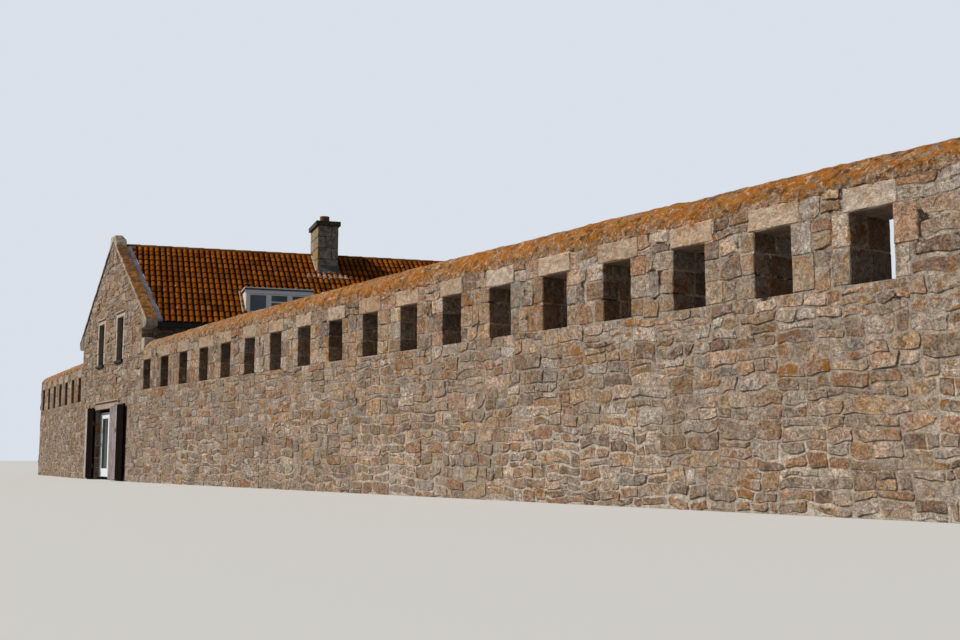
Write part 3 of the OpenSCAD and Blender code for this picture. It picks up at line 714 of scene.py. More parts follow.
class Masonry:
    """Stones gathered into one mesh: rubble cells on faces, and squared blocks."""

    def __init__(self, seed, cuts=3):
        self.bm = new_mesh()
        self.rng = random.Random(seed)
        self.seed = seed
        self.cuts = cuts

    def split(self, cells, u0, u1, v0, v1, size=1.0):
        """Cuts a patch of wall into one to several stones."""
        rng, w, h = self.rng, u1 - u0, v1 - v0
        if h > rng.uniform(0.18, 0.31) * size:
            cut = v0 + h * rng.uniform(0.34, 0.66)
            self.split(cells, u0, u1, v0, cut, size)
            self.split(cells, u0, u1, cut, v1, size)
        elif w > rng.uniform(0.30, 0.72) * size:
            cut = u0 + w * rng.uniform(0.32, 0.68)
            self.split(cells, u0, cut, v0, v1, size)
            self.split(cells, cut, u1, v0, v1, size)
        else:
            cells.append((u0, u1, v0, v1))

    def fill(self, cells, u0, u1, v0, v1, holes=(), size=1.0):
        """Fills one band of a face with cells, leaving out the holes that reach into it."""
        u = u0
        for a, b in sorted((h[0], h[1]) for h in holes if h[2] < v1 - 0.01 and h[3] > v0 + 0.01):
            self.run(cells, u, min(a, u1), v0, v1, size)
            u = max(u, b)
        self.run(cells, u, u1, v0, v1, size)

    def run(self, cells, u0, u1, v0, v1, size):
        """Fills one stretch of a band."""
        for a, b in lengths(self.rng, u0, u1, 0.45 * size, 1.05 * size, 0.3 * size):
            self.split(cells, a, b, v0, v1, size)

    def bands(self, z0, z1, lines=(), height=0.5):
        """The courses between z0 and z1, with a bed joint at every given line."""
        fixed = sorted({z0, z1, *(z for z in lines if z0 < z < z1)})
        levels = [z0]
        for low, high in zip(fixed, fixed[1:]):
            count = max(1, round((high - low) / height))
            step = (high - low) / count
            levels += [low + step * (i + 1) + (self.rng.uniform(-0.2, 0.2) * step if i + 1 < count else 0)
                       for i in range(count)]
        return list(zip(levels, levels[1:]))

    def courses(self, spot, u0, u1, z0, z1, holes=(), planes=()):
        """A whole face of rubble."""
        cells = []
        for low, high in self.bands(z0, z1, [z for hole in holes for z in hole[2:]]):
            self.fill(cells, u0, u1, low, high, holes)
        self.stones(spot, cells, planes, holes)

    def stones(self, spot, cells, planes=(), openings=()):
        """Turns flat cells into stones: uneven outlines, worn corners and a raised face."""
        rng, bm = self.rng, new_mesh()
        tone = bm.faces.layers.float["tone"]
        for u0, u1, v0, v1 in cells:
            gap = JOINT * rng.uniform(0.1, 1.6)
            w, h = u1 - u0 - 2 * gap, v1 - v0 - 2 * gap
            if w < SLIVER or h < SLIVER:
                continue
            slip = min(w, h) * 0.42
            corners = []
            for s, t in ((0, 0), (1, 0), (1, 1), (0, 1)):
                pull = slip * rng.random() ** 4
                corners.append(bm.verts.new((u0 + gap + w * s + pull * rng.random() * (1 - 2 * s),
                                             v0 + gap + h * t + pull * rng.random() * (1 - 2 * t), 0)))
            bm.faces.new(corners)[tone] = rng.random()
        bmesh.ops.subdivide_edges(bm, edges=bm.edges[:], cuts=self.cuts)
        worn = {loop.vert: (loop.link_loop_prev.vert.co + loop.link_loop_next.vert.co) / 2
                for f in bm.faces for loop in f.loops if loop.calc_angle() < 3.0}
        for v, middle in worn.items():
            v.co = v.co.lerp(middle, rng.uniform(0.0, 0.4))
        for v in bm.verts:
            free = min([1.0] + [distance_from(hole, v.co) / STRAIGHT_RIM for hole in openings
                                if abs(hole[0] - v.co.x) < 1.5 and abs(hole[2] - v.co.y) < 2.5])
            v.co += wander(v.co, 2.3, 0.060 * free, self.seed)
            v.co += wander(v.co, 6.5, 0.034 * free, self.seed + 1)
            v.co += wander(v.co, 19.0, 0.012, self.seed + 2)
            v.co += Vector((rng.uniform(-1, 1), rng.uniform(-1, 1), 0)) * 0.003
            v.co.z = 0
        for point, out in planes:
            cut_through(bm, point, out)
        bm.faces.ensure_lookup_table()
        small = [f for f in bm.faces if f.calc_area() < SMALLEST_STONE]
        bmesh.ops.delete(bm, geom=small, context="FACES")
        bm.normal_update()
        tops = bm.faces[:]
        if not tops:
            bm.free()
            return
        bmesh.ops.solidify(bm, geom=tops, thickness=STONE_DEPTH)
        rim = bm.verts.layers.float["rim"]
        for v in bm.verts:
            v[rim] = 1.0
        rng.shuffle(tops)
        for part, thickness in ((tops[::2], 0.006), (tops[1::2], 0.014)):
            bmesh.ops.inset_individual(bm, faces=part, thickness=thickness, depth=0.0, use_even_offset=True)
        for top in tops:
            middle = top.calc_center_median()
            lift = rng.uniform(0.003, 0.015)
            lean = Vector((rng.gauss(0, 0.02), rng.gauss(0, 0.026)))
            for v in top.verts:
                away = v.co - middle
                v.co += Vector((rng.uniform(-0.002, 0.002), rng.uniform(-0.002, 0.002), 0))
                v.co.z = max(0.002, lift + away.x * lean.x + away.y * lean.y + rng.uniform(-0.003, 0.003))
                v[rim] = 0.0
        bmesh.ops.transform(bm, matrix=spot, verts=bm.verts[:])
        join(self.bm, bm)

    def block(self, place, low, high, tone=None):
        """A squared stone between two corners of a place."""
        box(self.bm, low, high, place, self.rng.random() if tone is None else tone)

    def weather(self, edge, rough, cuts=2):
        """Takes the sharpness off every block made so far and leaves its faces uneven."""
        bevel(self.bm, self.bm.edges[:], edge)
        long_edges = [e for e in self.bm.edges if e.calc_length() > 0.09]
        bmesh.ops.subdivide_edges(self.bm, edges=long_edges, cuts=cuts, use_grid_fill=True)
        bmesh.ops.triangulate(self.bm, faces=[f for f in self.bm.faces if len(f.verts) > 4])
        for v in self.bm.verts:
            v.co += wander(v.co, 9.0, rough, self.seed)
            v.co += wander(v.co, 24.0, rough * 0.6, self.seed + 1)

    def paint_shade_inside(self, place):
        """Marks the faces that look along a wall and not out of it, as those within an opening do, for
        painted shade.
        """
        self.bm.normal_update()
        inside = self.bm.faces.layers.float["inside"]
        out = place.to_3x3() @ Vector((0, 1, 0))
        for f in self.bm.faces:
            f[inside] = min(1.0, max(0.0, 1.25 - 1.8 * abs(f.normal.dot(out)))) if f.normal.z < 0.6 else 0.0


def from_behind(cells):
    """Cells of a wall's front face as the back one has them."""
    return [(-b, -a, low, high) for a, b, low, high in cells]


def uneven_rows(rng, z0, z1, rows, stray):
    """Splits a height into rows whose joints stray a little."""
    levels = [z0 + (z1 - z0) * (i + (rng.uniform(-stray, stray) if 0 < i < rows else 0)) / rows
              for i in range(rows + 1)]
    return list(zip(levels, levels[1:]))


def dressings(stones, place, x0, x1, z0, z1, depth, rows, widths):
    """Jamb stones each side of an opening. Returns what they take of the face, row by row."""
    taken = []
    for low, high in uneven_rows(stones.rng, z0, z1, rows, 0.15):
        left, right = stones.rng.uniform(*widths), stones.rng.uniform(*widths)
        jamb(stones, place, x0, -1, left, low, high, depth)
        jamb(stones, place, x1, 1, right, low, high, depth)
        taken.append((x0 - left, x1 + right, low, high))
    return taken


def jamb(stones, place, edge, side, out, low, high, depth):
    """The stones of one course beside an opening, from the outer face to the inner one."""
    rng = stones.rng
    front = depth * rng.uniform(0.34, 0.6)
    cuts = [-rng.uniform(0.008, 0.016), front, depth + rng.uniform(0.008, 0.016)]
    inward = rng.uniform(0.003, 0.010)
    for near, far in zip(cuts, cuts[1:]):
        a, b = sorted((edge - side * inward, edge + side * (out - JOINT)))
        stones.block(place, (a, near + JOINT, low + JOINT), (b, far - JOINT, high - JOINT))
        inward = rng.uniform(0.003, 0.014)


def between(start, end, holes):
    """The stretches from start to end that the holes leave."""
    edges = [start, *(x for hole in holes for x in hole), end]
    return list(zip(edges[::2], edges[1::2]))


def loopholed_wall(prefix, place, x0, x1, first, pitch, count, seed, back_end):
    """Both faces of a wall with a row of loopholes, their jambs and lintels, and its coping."""
    walls, backs = Masonry(seed), Masonry(seed + 20, PLAIN_CUTS)
    blocks, lintels = Masonry(seed + 50), Masonry(seed + 90)
    rng = blocks.rng
    centres = [first + i * pitch for i in range(count)]
    holes = [(c - HOLE_W / 2, c + HOLE_W / 2, SILL, HEAD) for c in centres]
    cells, back_cells = [], []
    for number, (a, b) in enumerate(between(x0, x1, [hole[:2] for hole in holes])):
        rows = 2 if rng.random() < 0.3 else 3
        for low, high in uneven_rows(rng, SILL, HEAD, rows, 0.18):
            left, right = a, b
            if number > 0:
                left = a + min(rng.uniform(*JAMB_REACH), b - a)
                jamb(blocks, place, a, 1, left - a, low, high, WALL_T)
            if number < count:
                right = b - min(rng.uniform(*JAMB_REACH), b - left)
                if right - left < NARROWEST:
                    right = left
                jamb(blocks, place, b, -1, b - right, low, high, WALL_T)
            if right - left > NARROWEST:
                for stones in (cells, back_cells):
                    walls.split(stones, left, right, low, high, 1.35)
    spans = [(c - HOLE_W / 2 - rng.uniform(0.03, 0.15), c + HOLE_W / 2 + rng.uniform(0.03, 0.15))
             for c in centres]
    foot, top = HEAD - 0.006, CREST + 0.02
    for a, b in spans:
        tone = rng.random()
        split = WALL_T * rng.uniform(0.45, 0.55)
        lintels.block(place, (a, -rng.uniform(0.006, 0.014), foot), (b, split, top), tone)
        lintels.block(place, (a, split + JOINT, foot), (b, WALL_T + 0.010, top), tone)
    for a, b in between(x0, x1, spans):
        for stones in (cells, back_cells):
            walls.split(stones, a, b, HEAD, CREST + 0.03)
    for low, high in walls.bands(0, SILL, height=0.48):
        walls.fill(cells, x0, x1, low, high)
        walls.fill(back_cells, x0, x1, low, high, size=1.3)
    walls.stones(face(place, 0, 0, 0), cells, openings=holes)
    back_cells = [cell for cell in back_cells if cell[0] < back_end]
    backs.stones(face(place, 0, WALL_T, 180), from_behind(back_cells), openings=from_behind(holes))
    blocks.weather(0.012, 0.007)
    blocks.paint_shade_inside(place)
    lintels.weather(0.018, 0.012, 3)
    lintels.paint_shade_inside(place)
    join(walls.bm, blocks.bm)
    piece(prefix + "_stones", walls.bm, RUBBLE)
    piece(prefix + "_back_stones", backs.bm, RUBBLE)
    piece(prefix + "_lintel_stones", lintels.bm, DRESSED)
    coping_run(prefix + "_coping_crust", place, x0, x1, seed, prefix + "_coping")


def crest_sway(x):
    """The old wall's crest stands highest half-way along and sinks towards the house and the far end."""
    middle, most = WALL_END / 2, 0.05
    return most - (0.14 if x < middle else 0.09) * min(1.0, ((x - middle) / middle) ** 2)


def coping_run(name, place, x0, x1, seed, node):
    """The weathered coping: its section drawn out along the wall and left as lumpy as hand-laid mortar."""
    section = ((0.0, 0.0), (-0.008, 0.02), (-0.008, 0.075), (-0.002, 0.13), (0.022, 0.175), (0.05, 0.215),
               (0.082, 0.255), (0.115, 0.292), (0.15, 0.327), (0.20, 0.352), (0.28, 0.372), (0.36, 0.376),
               (0.44, 0.362), (0.52, 0.315), (0.60, 0.235), (0.66, 0.15), (0.69, 0.08), (WALL_T, 0.0))
    lump = 0.06
    bm = new_mesh()
    bm.faces.new([bm.verts.new((x0, y, CREST + z)) for y, z in section])
    draw_out(bm, None, (x1 - x0, 0, 0))
    rails = [e for e in bm.edges if abs(e.verts[0].co.x - e.verts[1].co.x) > 0.1]
    bmesh.ops.subdivide_edges(bm, edges=rails, cuts=int((x1 - x0) / lump))
    for v in bm.verts:
        rise = (v.co.z - CREST) / (WALL_TOP - CREST)
        v.co.z += crest_sway(v.co.x) * max(0.0, rise)
        v.co += wander(v.co, 0.8, 0.018, seed)
        v.co += wander(v.co, 3.6, 0.011, seed + 3)
        v.co += wander(v.co, 11.0, 0.012, seed + 5)
        v.co += wander(v.co, 37.0, 0.014, seed + 7)
        if rise < 0.2 and v.co.y < WALL_T / 2:
            v.co.z += noise.noise(Vector((v.co.x * 5.0, seed, 0))) * 0.045
    bmesh.ops.recalc_face_normals(bm, faces=bm.faces[:])
    bmesh.ops.transform(bm, matrix=place, verts=bm.verts[:])
    piece(name, bm, COPING, replaces=(node,))


# The two loopholed walls and the return wall

def footstone():
    """The squared stone on the wall's crest against the gable."""
    width, depth, height = FOOTSTONE
    stone = Masonry(29)
    stone.block(WALL, (WALL_START + 0.01, -0.008, CREST), (WALL_START + width, depth, CREST + height), 0.9)
    stone.weather(0.016, 0.008)
    piece("footstone_block", stone.bm, MARGIN)


def wall_ends_and_return():
    """The ends of both loopholed walls, and the taller wall that runs inland from the left one."""
    stones = Masonry(31, PLAIN_CUTS)
    under_coping = WALL_TOP - 0.25
    stones.courses(face(WALL, WALL_END, 0, 90), 0, WALL_T, 0, under_coping)
    stones.courses(face(LEFT, LEFT_END, 0, -90), -WALL_T, 0, 0, under_coping)
    inner, outer = face(LEFT, LEFT_END + RETURN_T, 0, 90), face(LEFT, LEFT_END, 0, -90)
    rise = RETURN_TOP - WALL_TOP
    end = WALL_T + RETURN_RUN
    stones.courses(inner, WALL_T, end, 0, RETURN_TOP,
                   planes=((Vector((WALL_T, WALL_TOP, 0)), Vector((-rise, RETURN_RAKE, 0))),))
    stones.courses(outer, -end, -WALL_T, 0, RETURN_TOP,
                   planes=((Vector((-WALL_T, WALL_TOP, 0)), Vector((rise, RETURN_RAKE, 0))),))
    stones.courses(face(LEFT, LEFT_END + RETURN_T, end, 180), 0, RETURN_T, 0, RETURN_TOP)
    piece("return_wall_stones", stones.bm, RUBBLE)


loopholed_wall("long_wall", WALL, WALL_START, WALL_END, 0, BAY, BAYS, 11, WALL_END)
loopholed_wall("left_wall", LEFT, LEFT_END, 0, -LEFT_FIRST - (LEFT_BAYS - 1) * LEFT_BAY, LEFT_BAY,
               LEFT_BAYS, 23, -0.3)
footstone()
wall_ends_and_return()


# Guardhouse masonry

def gable_planes():
    """The two rakes, as cutting planes on the front gable's face."""
    slope = RISE * math.cos(math.radians(RIDGE_SKEW))
    peak = Vector((-GABLE_W / 2, PEAK, 0))
    return [(peak, Vector((side * slope, 1, 0))) for side in (-1, 1)]


def gable_face(name, place, seed, doorway):
    """One gable: rubble round its windows and doorway, with jamb stones up their sides."""
    rubble = Masonry(seed, 3 if doorway else PLAIN_CUTS)
    blocks, margins = Masonry(seed + 1), Masonry(seed + 2)
    holes = []
    for middle in WINDOWS:
        a, b = middle - WINDOW_W / 2, middle + WINDOW_W / 2
        holes += dressings(margins, place, a, b, WINDOW_SILL, WINDOW_HEAD, GABLE_T, 3, (0.10, 0.17))
        holes.append((a - LINTEL_END, b + LINTEL_END, WINDOW_HEAD, WINDOW_HEAD + WINDOW_LINTEL))
        holes.append((a - SILL_END, b + SILL_END, WINDOW_SILL - SILL_END, WINDOW_SILL))
    if doorway:
        a, b = DOOR_X, DOOR_X + DOOR_W
        holes += dressings(blocks, place, a, b, 0, DOOR_H, GABLE_T, 6, (0.2, 0.4))
        holes.append((a - LINTEL_END, b + LINTEL_END, DOOR_H, DOOR_H + DOOR_LINTEL))
    rubble.courses(face(place, 0, 0, 0), -GABLE_W, 0, 0, PEAK, holes, planes=gable_planes())
    blocks.weather(0.012, 0.005)
    blocks.paint_shade_inside(place)
    join(rubble.bm, blocks.bm)
    piece(name + "_stones", rubble.bm, RUBBLE)
    margins.weather(0.010, 0.004)
    margins.paint_shade_inside(place)
    piece(name + "_margins", margins.bm, MARGIN)


REAR = GABLE @ turned(-GABLE_W + HOUSE_D * math.tan(math.radians(RIDGE_SKEW)), HOUSE_D, 180)
gable_face("front_gable", GABLE, 41, True)
gable_face("rear_gable", REAR, 47, False)


def side_face(name, side, seed):
    """A long side of the house between the gables, under the eaves."""
    rubble, blocks = Masonry(seed, PLAIN_CUTS), Masonry(seed + 1)
    wall = RIDGE @ turned(side * HALF_W, 0, side * 90)
    top = SIDE_HEAD + SIDE_LINTEL
    holes = []
    for y in SIDE_WINDOWS:
        a, b = side * y - SIDE_W / 2, side * y + SIDE_W / 2
        holes += dressings(blocks, wall, a, b, SIDE_SILL, SIDE_HEAD, SIDE_T, 4, (0.16, 0.32))
        a, b = a - LINTEL_END, b + LINTEL_END
        blocks.block(wall, (a, -0.012, SIDE_HEAD), (b, 0.3, top))
        holes.append((a, b, SIDE_HEAD, top))
    skew = math.radians(RIDGE_SKEW)
    start = side * HALF_W * math.tan(skew)
    u0, u1 = sorted((side * start, side * (start + HOUSE_D / math.cos(skew))))
    under_eaves = RIDGE_Z - RISE * HALF_W - 0.22
    rubble.courses(face(wall, 0, 0, 0), u0 + 0.02, u1 - 0.02, 0, under_eaves, holes)
    blocks.weather(0.012, 0.005)
    blocks.paint_shade_inside(wall)
    join(rubble.bm, blocks.bm)
    # Painted shade: the stones high under the eaves are marked as fully shaded
    inside = rubble.bm.faces.layers.float["inside"]
    for f in rubble.bm.faces:
        if f.calc_center_median().z > EAVES_SHADE:
            f[inside] = 1.0
    piece(name, rubble.bm, RUBBLE)


side_face("near_side_stones", 1, 53)
side_face("far_side_stones", -1, 59)


# Parapets: sheared slabs up each rake, kneelers at their feet and a saddle stone on each peak

def trim(bm, y0, y1):
    """Cuts a mesh off at two planes parallel to the gables and closes it there."""
    for y, out in ((y0, -1), (y1, 1)):
        cut_off(bm, GABLE @ Vector((0, y, 0)), GABLE.to_3x3() @ Vector((0, out, 0)))


def slope_z(x, top):
    """The height of a slope at a distance from the ridge."""
    return top - RISE * abs(x)


def sloping(a, b, top, thickness):
    """The section of a slab that lies on a slope between two distances from the ridge."""
    low_a, low_b = slope_z(a, top), slope_z(b, top)
    return (a, low_a), (b, low_b), (b, low_b + thickness), (a, low_a + thickness)


def drawn_along_ridge(section, y0, y1):
    """A mesh with the given section in X and Z, reaching from y0 to y1 along the ridge."""
    bm = new_mesh()
    bm.faces.new([bm.verts.new((x, y0, z)) for x, z in section])
    draw_out(bm, None, (0, y1 - y0, 0))
    bmesh.ops.recalc_face_normals(bm, faces=bm.faces[:])
    bmesh.ops.transform(bm, matrix=RIDGE, verts=bm.verts[:])
    return bm


def ridge_stone(stones, section, y0, y1, crown=None):
    """A stone drawn along the ridge from its section, then cut off parallel to the gable."""
    bm = drawn_along_ridge(section, -3.0, HOUSE_D + 3.0)
    trim(bm, y0, y1)
    if crown:
        y, z, inwards = crown
        cut_off(bm, GABLE @ Vector((0, y, z)), GABLE.to_3x3() @ Vector((0, inwards * 0.8, 0.6)))
    bmesh.ops.recalc_face_normals(bm, faces=bm.faces[:])
    tone, value = bm.faces.layers.float["tone"], stones.rng.random()
    for f in bm.faces:
        f[tone] = value
    join(stones.bm, bm)


def parapet_stones():
    """The coping slabs, kneelers and saddle stones of both gables."""
    slabs, greys = Masonry(61), Masonry(67)
    out = HALF_W + KNEELER_OUT
    top = PEAK + COPING_T + 0.001
    for y0, y1, ends in ((-DRIP, PARAPET_T, (PARAPET_T - 0.10, 1)),
                         (HOUSE_D - PARAPET_T, HOUSE_D + DRIP, (HOUSE_D - PARAPET_T + 0.10, -1))):
        for side in (-1, 1):
            for near, far in lengths(slabs.rng, SADDLE_HALF, out, 0.7, 1.1, 0.45):
                a, b = side * (near + 0.004), side * (far - 0.004)
                ridge_stone(slabs, sloping(a, b, PEAK, top - PEAK), y0, y1)
            a, b = side * HALF_W, side * out
            ridge_stone(greys, ((a, KNEELER_FOOT), (b, KNEELER_FOOT + 0.04), (b, slope_z(b, PEAK)),
                                (a, slope_z(a, PEAK))), y0, y1)
        a, crown = SADDLE_HALF, SADDLE_CROWN
        foot, shoulder = slope_z(a, PEAK), slope_z(a, top)
        section = ((-a, foot), (0, PEAK), (a, foot), (a, shoulder),
                   (crown, SADDLE_TOP), (-crown, SADDLE_TOP), (-a, shoulder))
        ridge_stone(greys, section, y0, y1, (ends[0], SADDLE_TOP, ends[1]))
    slabs.weather(0.014, 0.009, 4)
    greys.weather(0.020, 0.010, 3)
    piece("gable_coping_slabs", slabs.bm, RAKE_COPING, replaces=("gable_coping",))
    piece("saddle_and_kneeler_stones", greys.bm, GREY_STONE,
          replaces=("saddle_stones", "kneelers"))


parapet_stones()


# Chimney

def chimney():
    """Squared blocks in five courses, a pale fillet where the stack meets the tiles on its sunny side."""
    stack = Masonry(71)
    x0, x1, y0, y1 = STACK
    rows = 5
    step = (STACK_TOP - STACK_FOOT) / rows
    skin = 0.010
    for row in range(rows):
        low, high = STACK_FOOT + row * step, STACK_FOOT + (row + 1) * step
        cuts = (x0 - skin, x0 + (x1 - x0) * (0.42 if row % 2 else 0.62), x1 + skin)
        depths = (y0 - skin, y0 + (y1 - y0) * (0.4 if row % 2 else 0.68), y1 + skin)
        for a, b in zip(cuts, cuts[1:]):
            for c, d in zip(depths, depths[1:]):
                foot = (a + 0.003, c + 0.003, low + 0.004)
                stack.block(RIDGE, foot, (b - 0.003, d - 0.003, high - 0.004))
    stack.weather(0.012, 0.006)
    piece("chimney_blocks", stack.bm, CHIMNEY)

    fillet = Masonry(73)
    for a, b in ((0.12, 0.37), (0.38, 0.66), (0.67, 0.95)):
        join(fillet.bm, drawn_along_ridge(sloping(a, b, RIDGE_Z, 0.10), y0 - 0.075, y0 + 0.004))
    fillet.weather(0.014, 0.010, 3)
    piece("chimney_fillet", fillet.bm, FILLET)

    proud = 0.008
    section = [(x1 - 0.002, 0.0), (x1 + 0.17 + proud, 0.0), (x1 + 0.17 + proud, 0.075 + proud),
               (x1 + 0.025 + proud, 0.200 + proud), (x1 - 0.002, 0.220 + proud)]
    apron = Masonry(79)
    section = [(x, slope_z(x, RIDGE_Z) + h) for x, h in section]
    join(apron.bm, drawn_along_ridge(section, y0 - proud, y1 + proud))
    apron.weather(0.006, 0.006, 5)
    piece("chimney_apron", apron.bm, APRON)


def flashing():
    """Sheets of lead dressed down each gable's inner side, every one lapped and beaten differently."""
    leads = Masonry(101)
    for y0, y1 in ((PARAPET_T - 0.004, PARAPET_T + FLASHING_W + 0.008),
                   (HOUSE_D - PARAPET_T - FLASHING_W - 0.008, HOUSE_D - PARAPET_T + 0.004)):
        for side in (-1, 1):
            for near, far in lengths(leads.rng, 0.14, EAVES, 0.4, 0.75, 0.3):
                a, b = side * (near + 0.002), side * (far - 0.002)
                ridge_stone(leads, sloping(a, b, RIDGE_Z + 0.004, FLASHING_T), y0, y1)
    leads.weather(0.006, 0.012, 4)
    piece("flashing_sheets", leads.bm, LEAD, replaces=("lead_flashings",))


chimney()
flashing()


# Roof

def roll_profile(rolls, width, height):
    """Points across a tile: a narrow pan and a broad half-round roll for each roll."""
    pan = 0.26 * width
    points = []
    for i in range(rolls):
        left = i * width
        points += [(left, 0.0), (left + pan, 0.0)]
        points += [(left + pan + (width - pan) * 0.5 * (1 - math.cos(a)), height * math.sin(a))
                   for a in (math.pi * k / 6 for k in range(1, 6))]
    return points + [(rolls * width, 0.0)]


def tile_mesh():
    """One tile: its section drawn down the slope and given its thickness."""
    bm = new_mesh()
    dirt = bm.verts.layers.float.new("dirt")
    line = chain(bm, [(x, 0, z) for x, z in roll_profile(2, TILE_W / 2, 0.046)])
    draw_out(bm, line, (0, -GAUGE - LAP, 0.022))
    bmesh.ops.recalc_face_normals(bm, faces=bm.faces[:])
    if sum(f.normal.z for f in bm.faces) < 0:
        bmesh.ops.reverse_faces(bm, faces=bm.faces[:])
    for y in (-LAP - 0.02, -LAP - 0.085):
        cut_through(bm, (0, y, 0), (0, 1, 0), remove=False)
    bmesh.ops.solidify(bm, geom=bm.faces[:], thickness=TILE_T)
    # Painted shade: the pans, and the top of each tile under the next course's lap, are marked for
    # darkening
    for v in bm.verts:
        down = -v.co.y / (GAUGE + LAP)
        pan = 1.0 - min(1.0, max(0.0, v.co.z - 0.022 * down) / 0.026)
        v[dirt] = max(0.7 * pan, 0.62 if v.co.y > -LAP - 0.05 else 0.0)
    mesh = bpy.data.meshes.new("tile")
    bm.to_mesh(mesh)
    bm.free()
    return mesh


def slope_place(side):
    """X along the ridge, Y up the slope and Z out of it, from the eaves."""
    eaves = Vector((side * (EAVES + OVERHANG), 0, RIDGE_Z - RISE * EAVES))
    along = Vector((0, side, 0))
    up = Vector((-side * math.cos(SLOPE), 0, math.sin(SLOPE)))
    out = along.cross(up)
    return RIDGE @ Matrix.Translation(eaves) @ Matrix((along, up, out)).transposed().to_4x4()


def within(point, x0, x1, y0, y1):
    """Whether a point lies in a rectangle of the plan."""
    return x0 < point.x < x1 and y0 < point.y < y1


def roof_tiles(name, side, seed):
    """Lays one slope tile by tile, up to the gables and round the chimney and the dormer."""
    rng = random.Random(seed)
    single = tile_mesh()
    bm = new_mesh()
    bm.verts.layers.float.new("dirt")
    tone = bm.faces.layers.float["tone"]
    bloom = bm.faces.layers.float.new("bloom")
    place = slope_place(side)
    x0, x1, y0, y1 = STACK
    slope_length = (EAVES + OVERHANG) / math.cos(SLOPE)
    columns = range(-6, 40) if side > 0 else range(-40, 6)
    for row in range(math.ceil(slope_length / GAUGE)):
        for column in columns:
            x, y = column * TILE_W, min((row + 1) * GAUGE, slope_length - 0.03)
            middle = place @ Vector((x + TILE_W / 2, y - GAUGE / 2, 0))
            here = RIDGE.inverted() @ middle
            if not PARAPET_T - 0.1 < (GABLE.inverted() @ middle).y < HOUSE_D - PARAPET_T + 0.1:
                continue
            if within(here, x0, x1 - 0.05, y0 + 0.05, y1 - 0.05):
                continue
            if side > 0 and within(here, DORMER_BACK, DORMER_X, DORMER_Y, DORMER_END):
                continue
            count_v, count_f = len(bm.verts), len(bm.faces)
            bm.from_mesh(single)
            bm.verts.ensure_lookup_table()
            bm.faces.ensure_lookup_table()
            sit = Matrix.Translation((x + rng.uniform(-0.003, 0.003), y + rng.uniform(-0.004, 0.004),
                                      0.014 + rng.uniform(0, 0.003)))
            sit = sit @ Matrix.Rotation(rng.uniform(-0.008, 0.008), 4, "Z")
            bmesh.ops.transform(bm, matrix=sit, verts=bm.verts[count_v:])
            value = min(1.0, max(0.0, rng.gauss(0.5, 0.22)))
            pale = side > 0 and within(here, x1, x1 + 0.45, y0 - 0.3, y1 + 0.3)
            for f in bm.faces[count_f:]:
                f[tone] = value
                f[bloom] = float(pale)
    bpy.data.meshes.remove(single)
    bmesh.ops.transform(bm, matrix=place, verts=bm.verts[:])
    edge = PARAPET_T + FLASHING_W - 0.01
    trim(bm, edge, HOUSE_D - edge)
    piece(name, bm, TILE)


roof_tiles("near_slope_tiles", 1, 81)
roof_tiles("far_slope_tiles", -1, 83)


def ridge_caps():
    """Half-round ridge tiles, each lapping the next."""
    bm = new_mesh()
    dirt = bm.verts.layers.float.new("dirt")
    tone = bm.faces.layers.float["tone"]
    rng = random.Random(91)
    length, radius = 0.46, 0.13
    y = -0.2
    while y < HOUSE_D + 1.0:
        if STACK[2] - length < y < STACK[3]:
            spans = ((y, STACK[2]),) if y < STACK[2] - 0.05 else ()
            y_next = STACK[3]
        else:
            spans, y_next = ((y, y + length),), y + length
        for a, b in spans:
            start = len(bm.faces)
            arc = [(radius * math.cos(t), a, RIDGE_Z - 0.055 + radius * math.sin(t) * 0.95)
                   for t in (math.pi * k / 8 for k in range(9))]
            draw_out(bm, chain(bm, arc), (0, b - a + 0.02, 0.012))
            bm.faces.ensure_lookup_table()
            value = rng.random()
            for f in bm.faces[start:]:
                f[tone] = value
        y = y_next
    bmesh.ops.recalc_face_normals(bm, faces=bm.faces[:])
    inward = []
    for f in bm.faces:
        middle = f.calc_center_median()
        if (middle - Vector((0, middle.y, RIDGE_Z - 0.1))).dot(f.normal) < 0:
            inward.append(f)
    bmesh.ops.reverse_faces(bm, faces=inward)
    bmesh.ops.solidify(bm, geom=bm.faces[:], thickness=TILE_T)
    for v in bm.verts:
        v[dirt] = 0.3
    bmesh.ops.transform(bm, matrix=RIDGE, verts=bm.verts[:])
    trim(bm, PARAPET_T, HOUSE_D - PARAPET_T)
    piece("ridge_caps", bm, RIDGE_TILE, replaces=("ridge_tiles",))


ridge_caps()


# Joinery: boards, door, frames and dormer

def joinery(name, place, boxes, finish, body="root", replaces=(), edge=0.004, ragged=0.0):
    """Boards, rails and panes: boxes with eased edges. Ragged ones have uneven tops."""
    whole = new_mesh()
    rng = random.Random(name)
    for low, high in boxes:
        bm, value = new_mesh(), rng.random()
        box(bm, low, high, Matrix(), value)
        if ragged:
            across = [e for e in bm.edges if abs(e.verts[0].co.x - e.verts[1].co.x) > 0.01]
            bmesh.ops.subdivide_edges(bm, edges=across, cuts=5)
            for v in bm.verts:
                if v.co.z > high[2] - 0.001:
                    v.co.z -= abs(noise.noise(Vector((v.co.x * 17.0, 0, value * 9)))) * ragged
        bmesh.ops.transform(bm, matrix=place, verts=bm.verts[:])
        join(whole, bm)
    bevel(whole, [e for e in whole.edges if e.calc_face_angle(0.0) > 0.5], edge, 2)
    piece(name, whole, finish, body, replaces)


def leaf_boards(span, skip=(0, 0)):
    """The upright boards of a leaf, leaving out some at its left and right."""
    count = int((span[1] - span[0]) / BOARD_W)
    pitch = (span[1] - span[0]) / count
    rng = random.Random(span[0])
    drops = [rng.choice((0.0, 0.012, 0.035, 0.045)) for _ in range(count)]
    return [((span[0] + i * pitch + 0.002, LEAF_FRONT, LEAF_FOOT + rng.uniform(0, 0.02)),
             (span[0] + (i + 1) * pitch - 0.002, LEAF_BACK, LEAF_TOP - drops[i]))
            for i in range(skip[0], count - skip[1])]


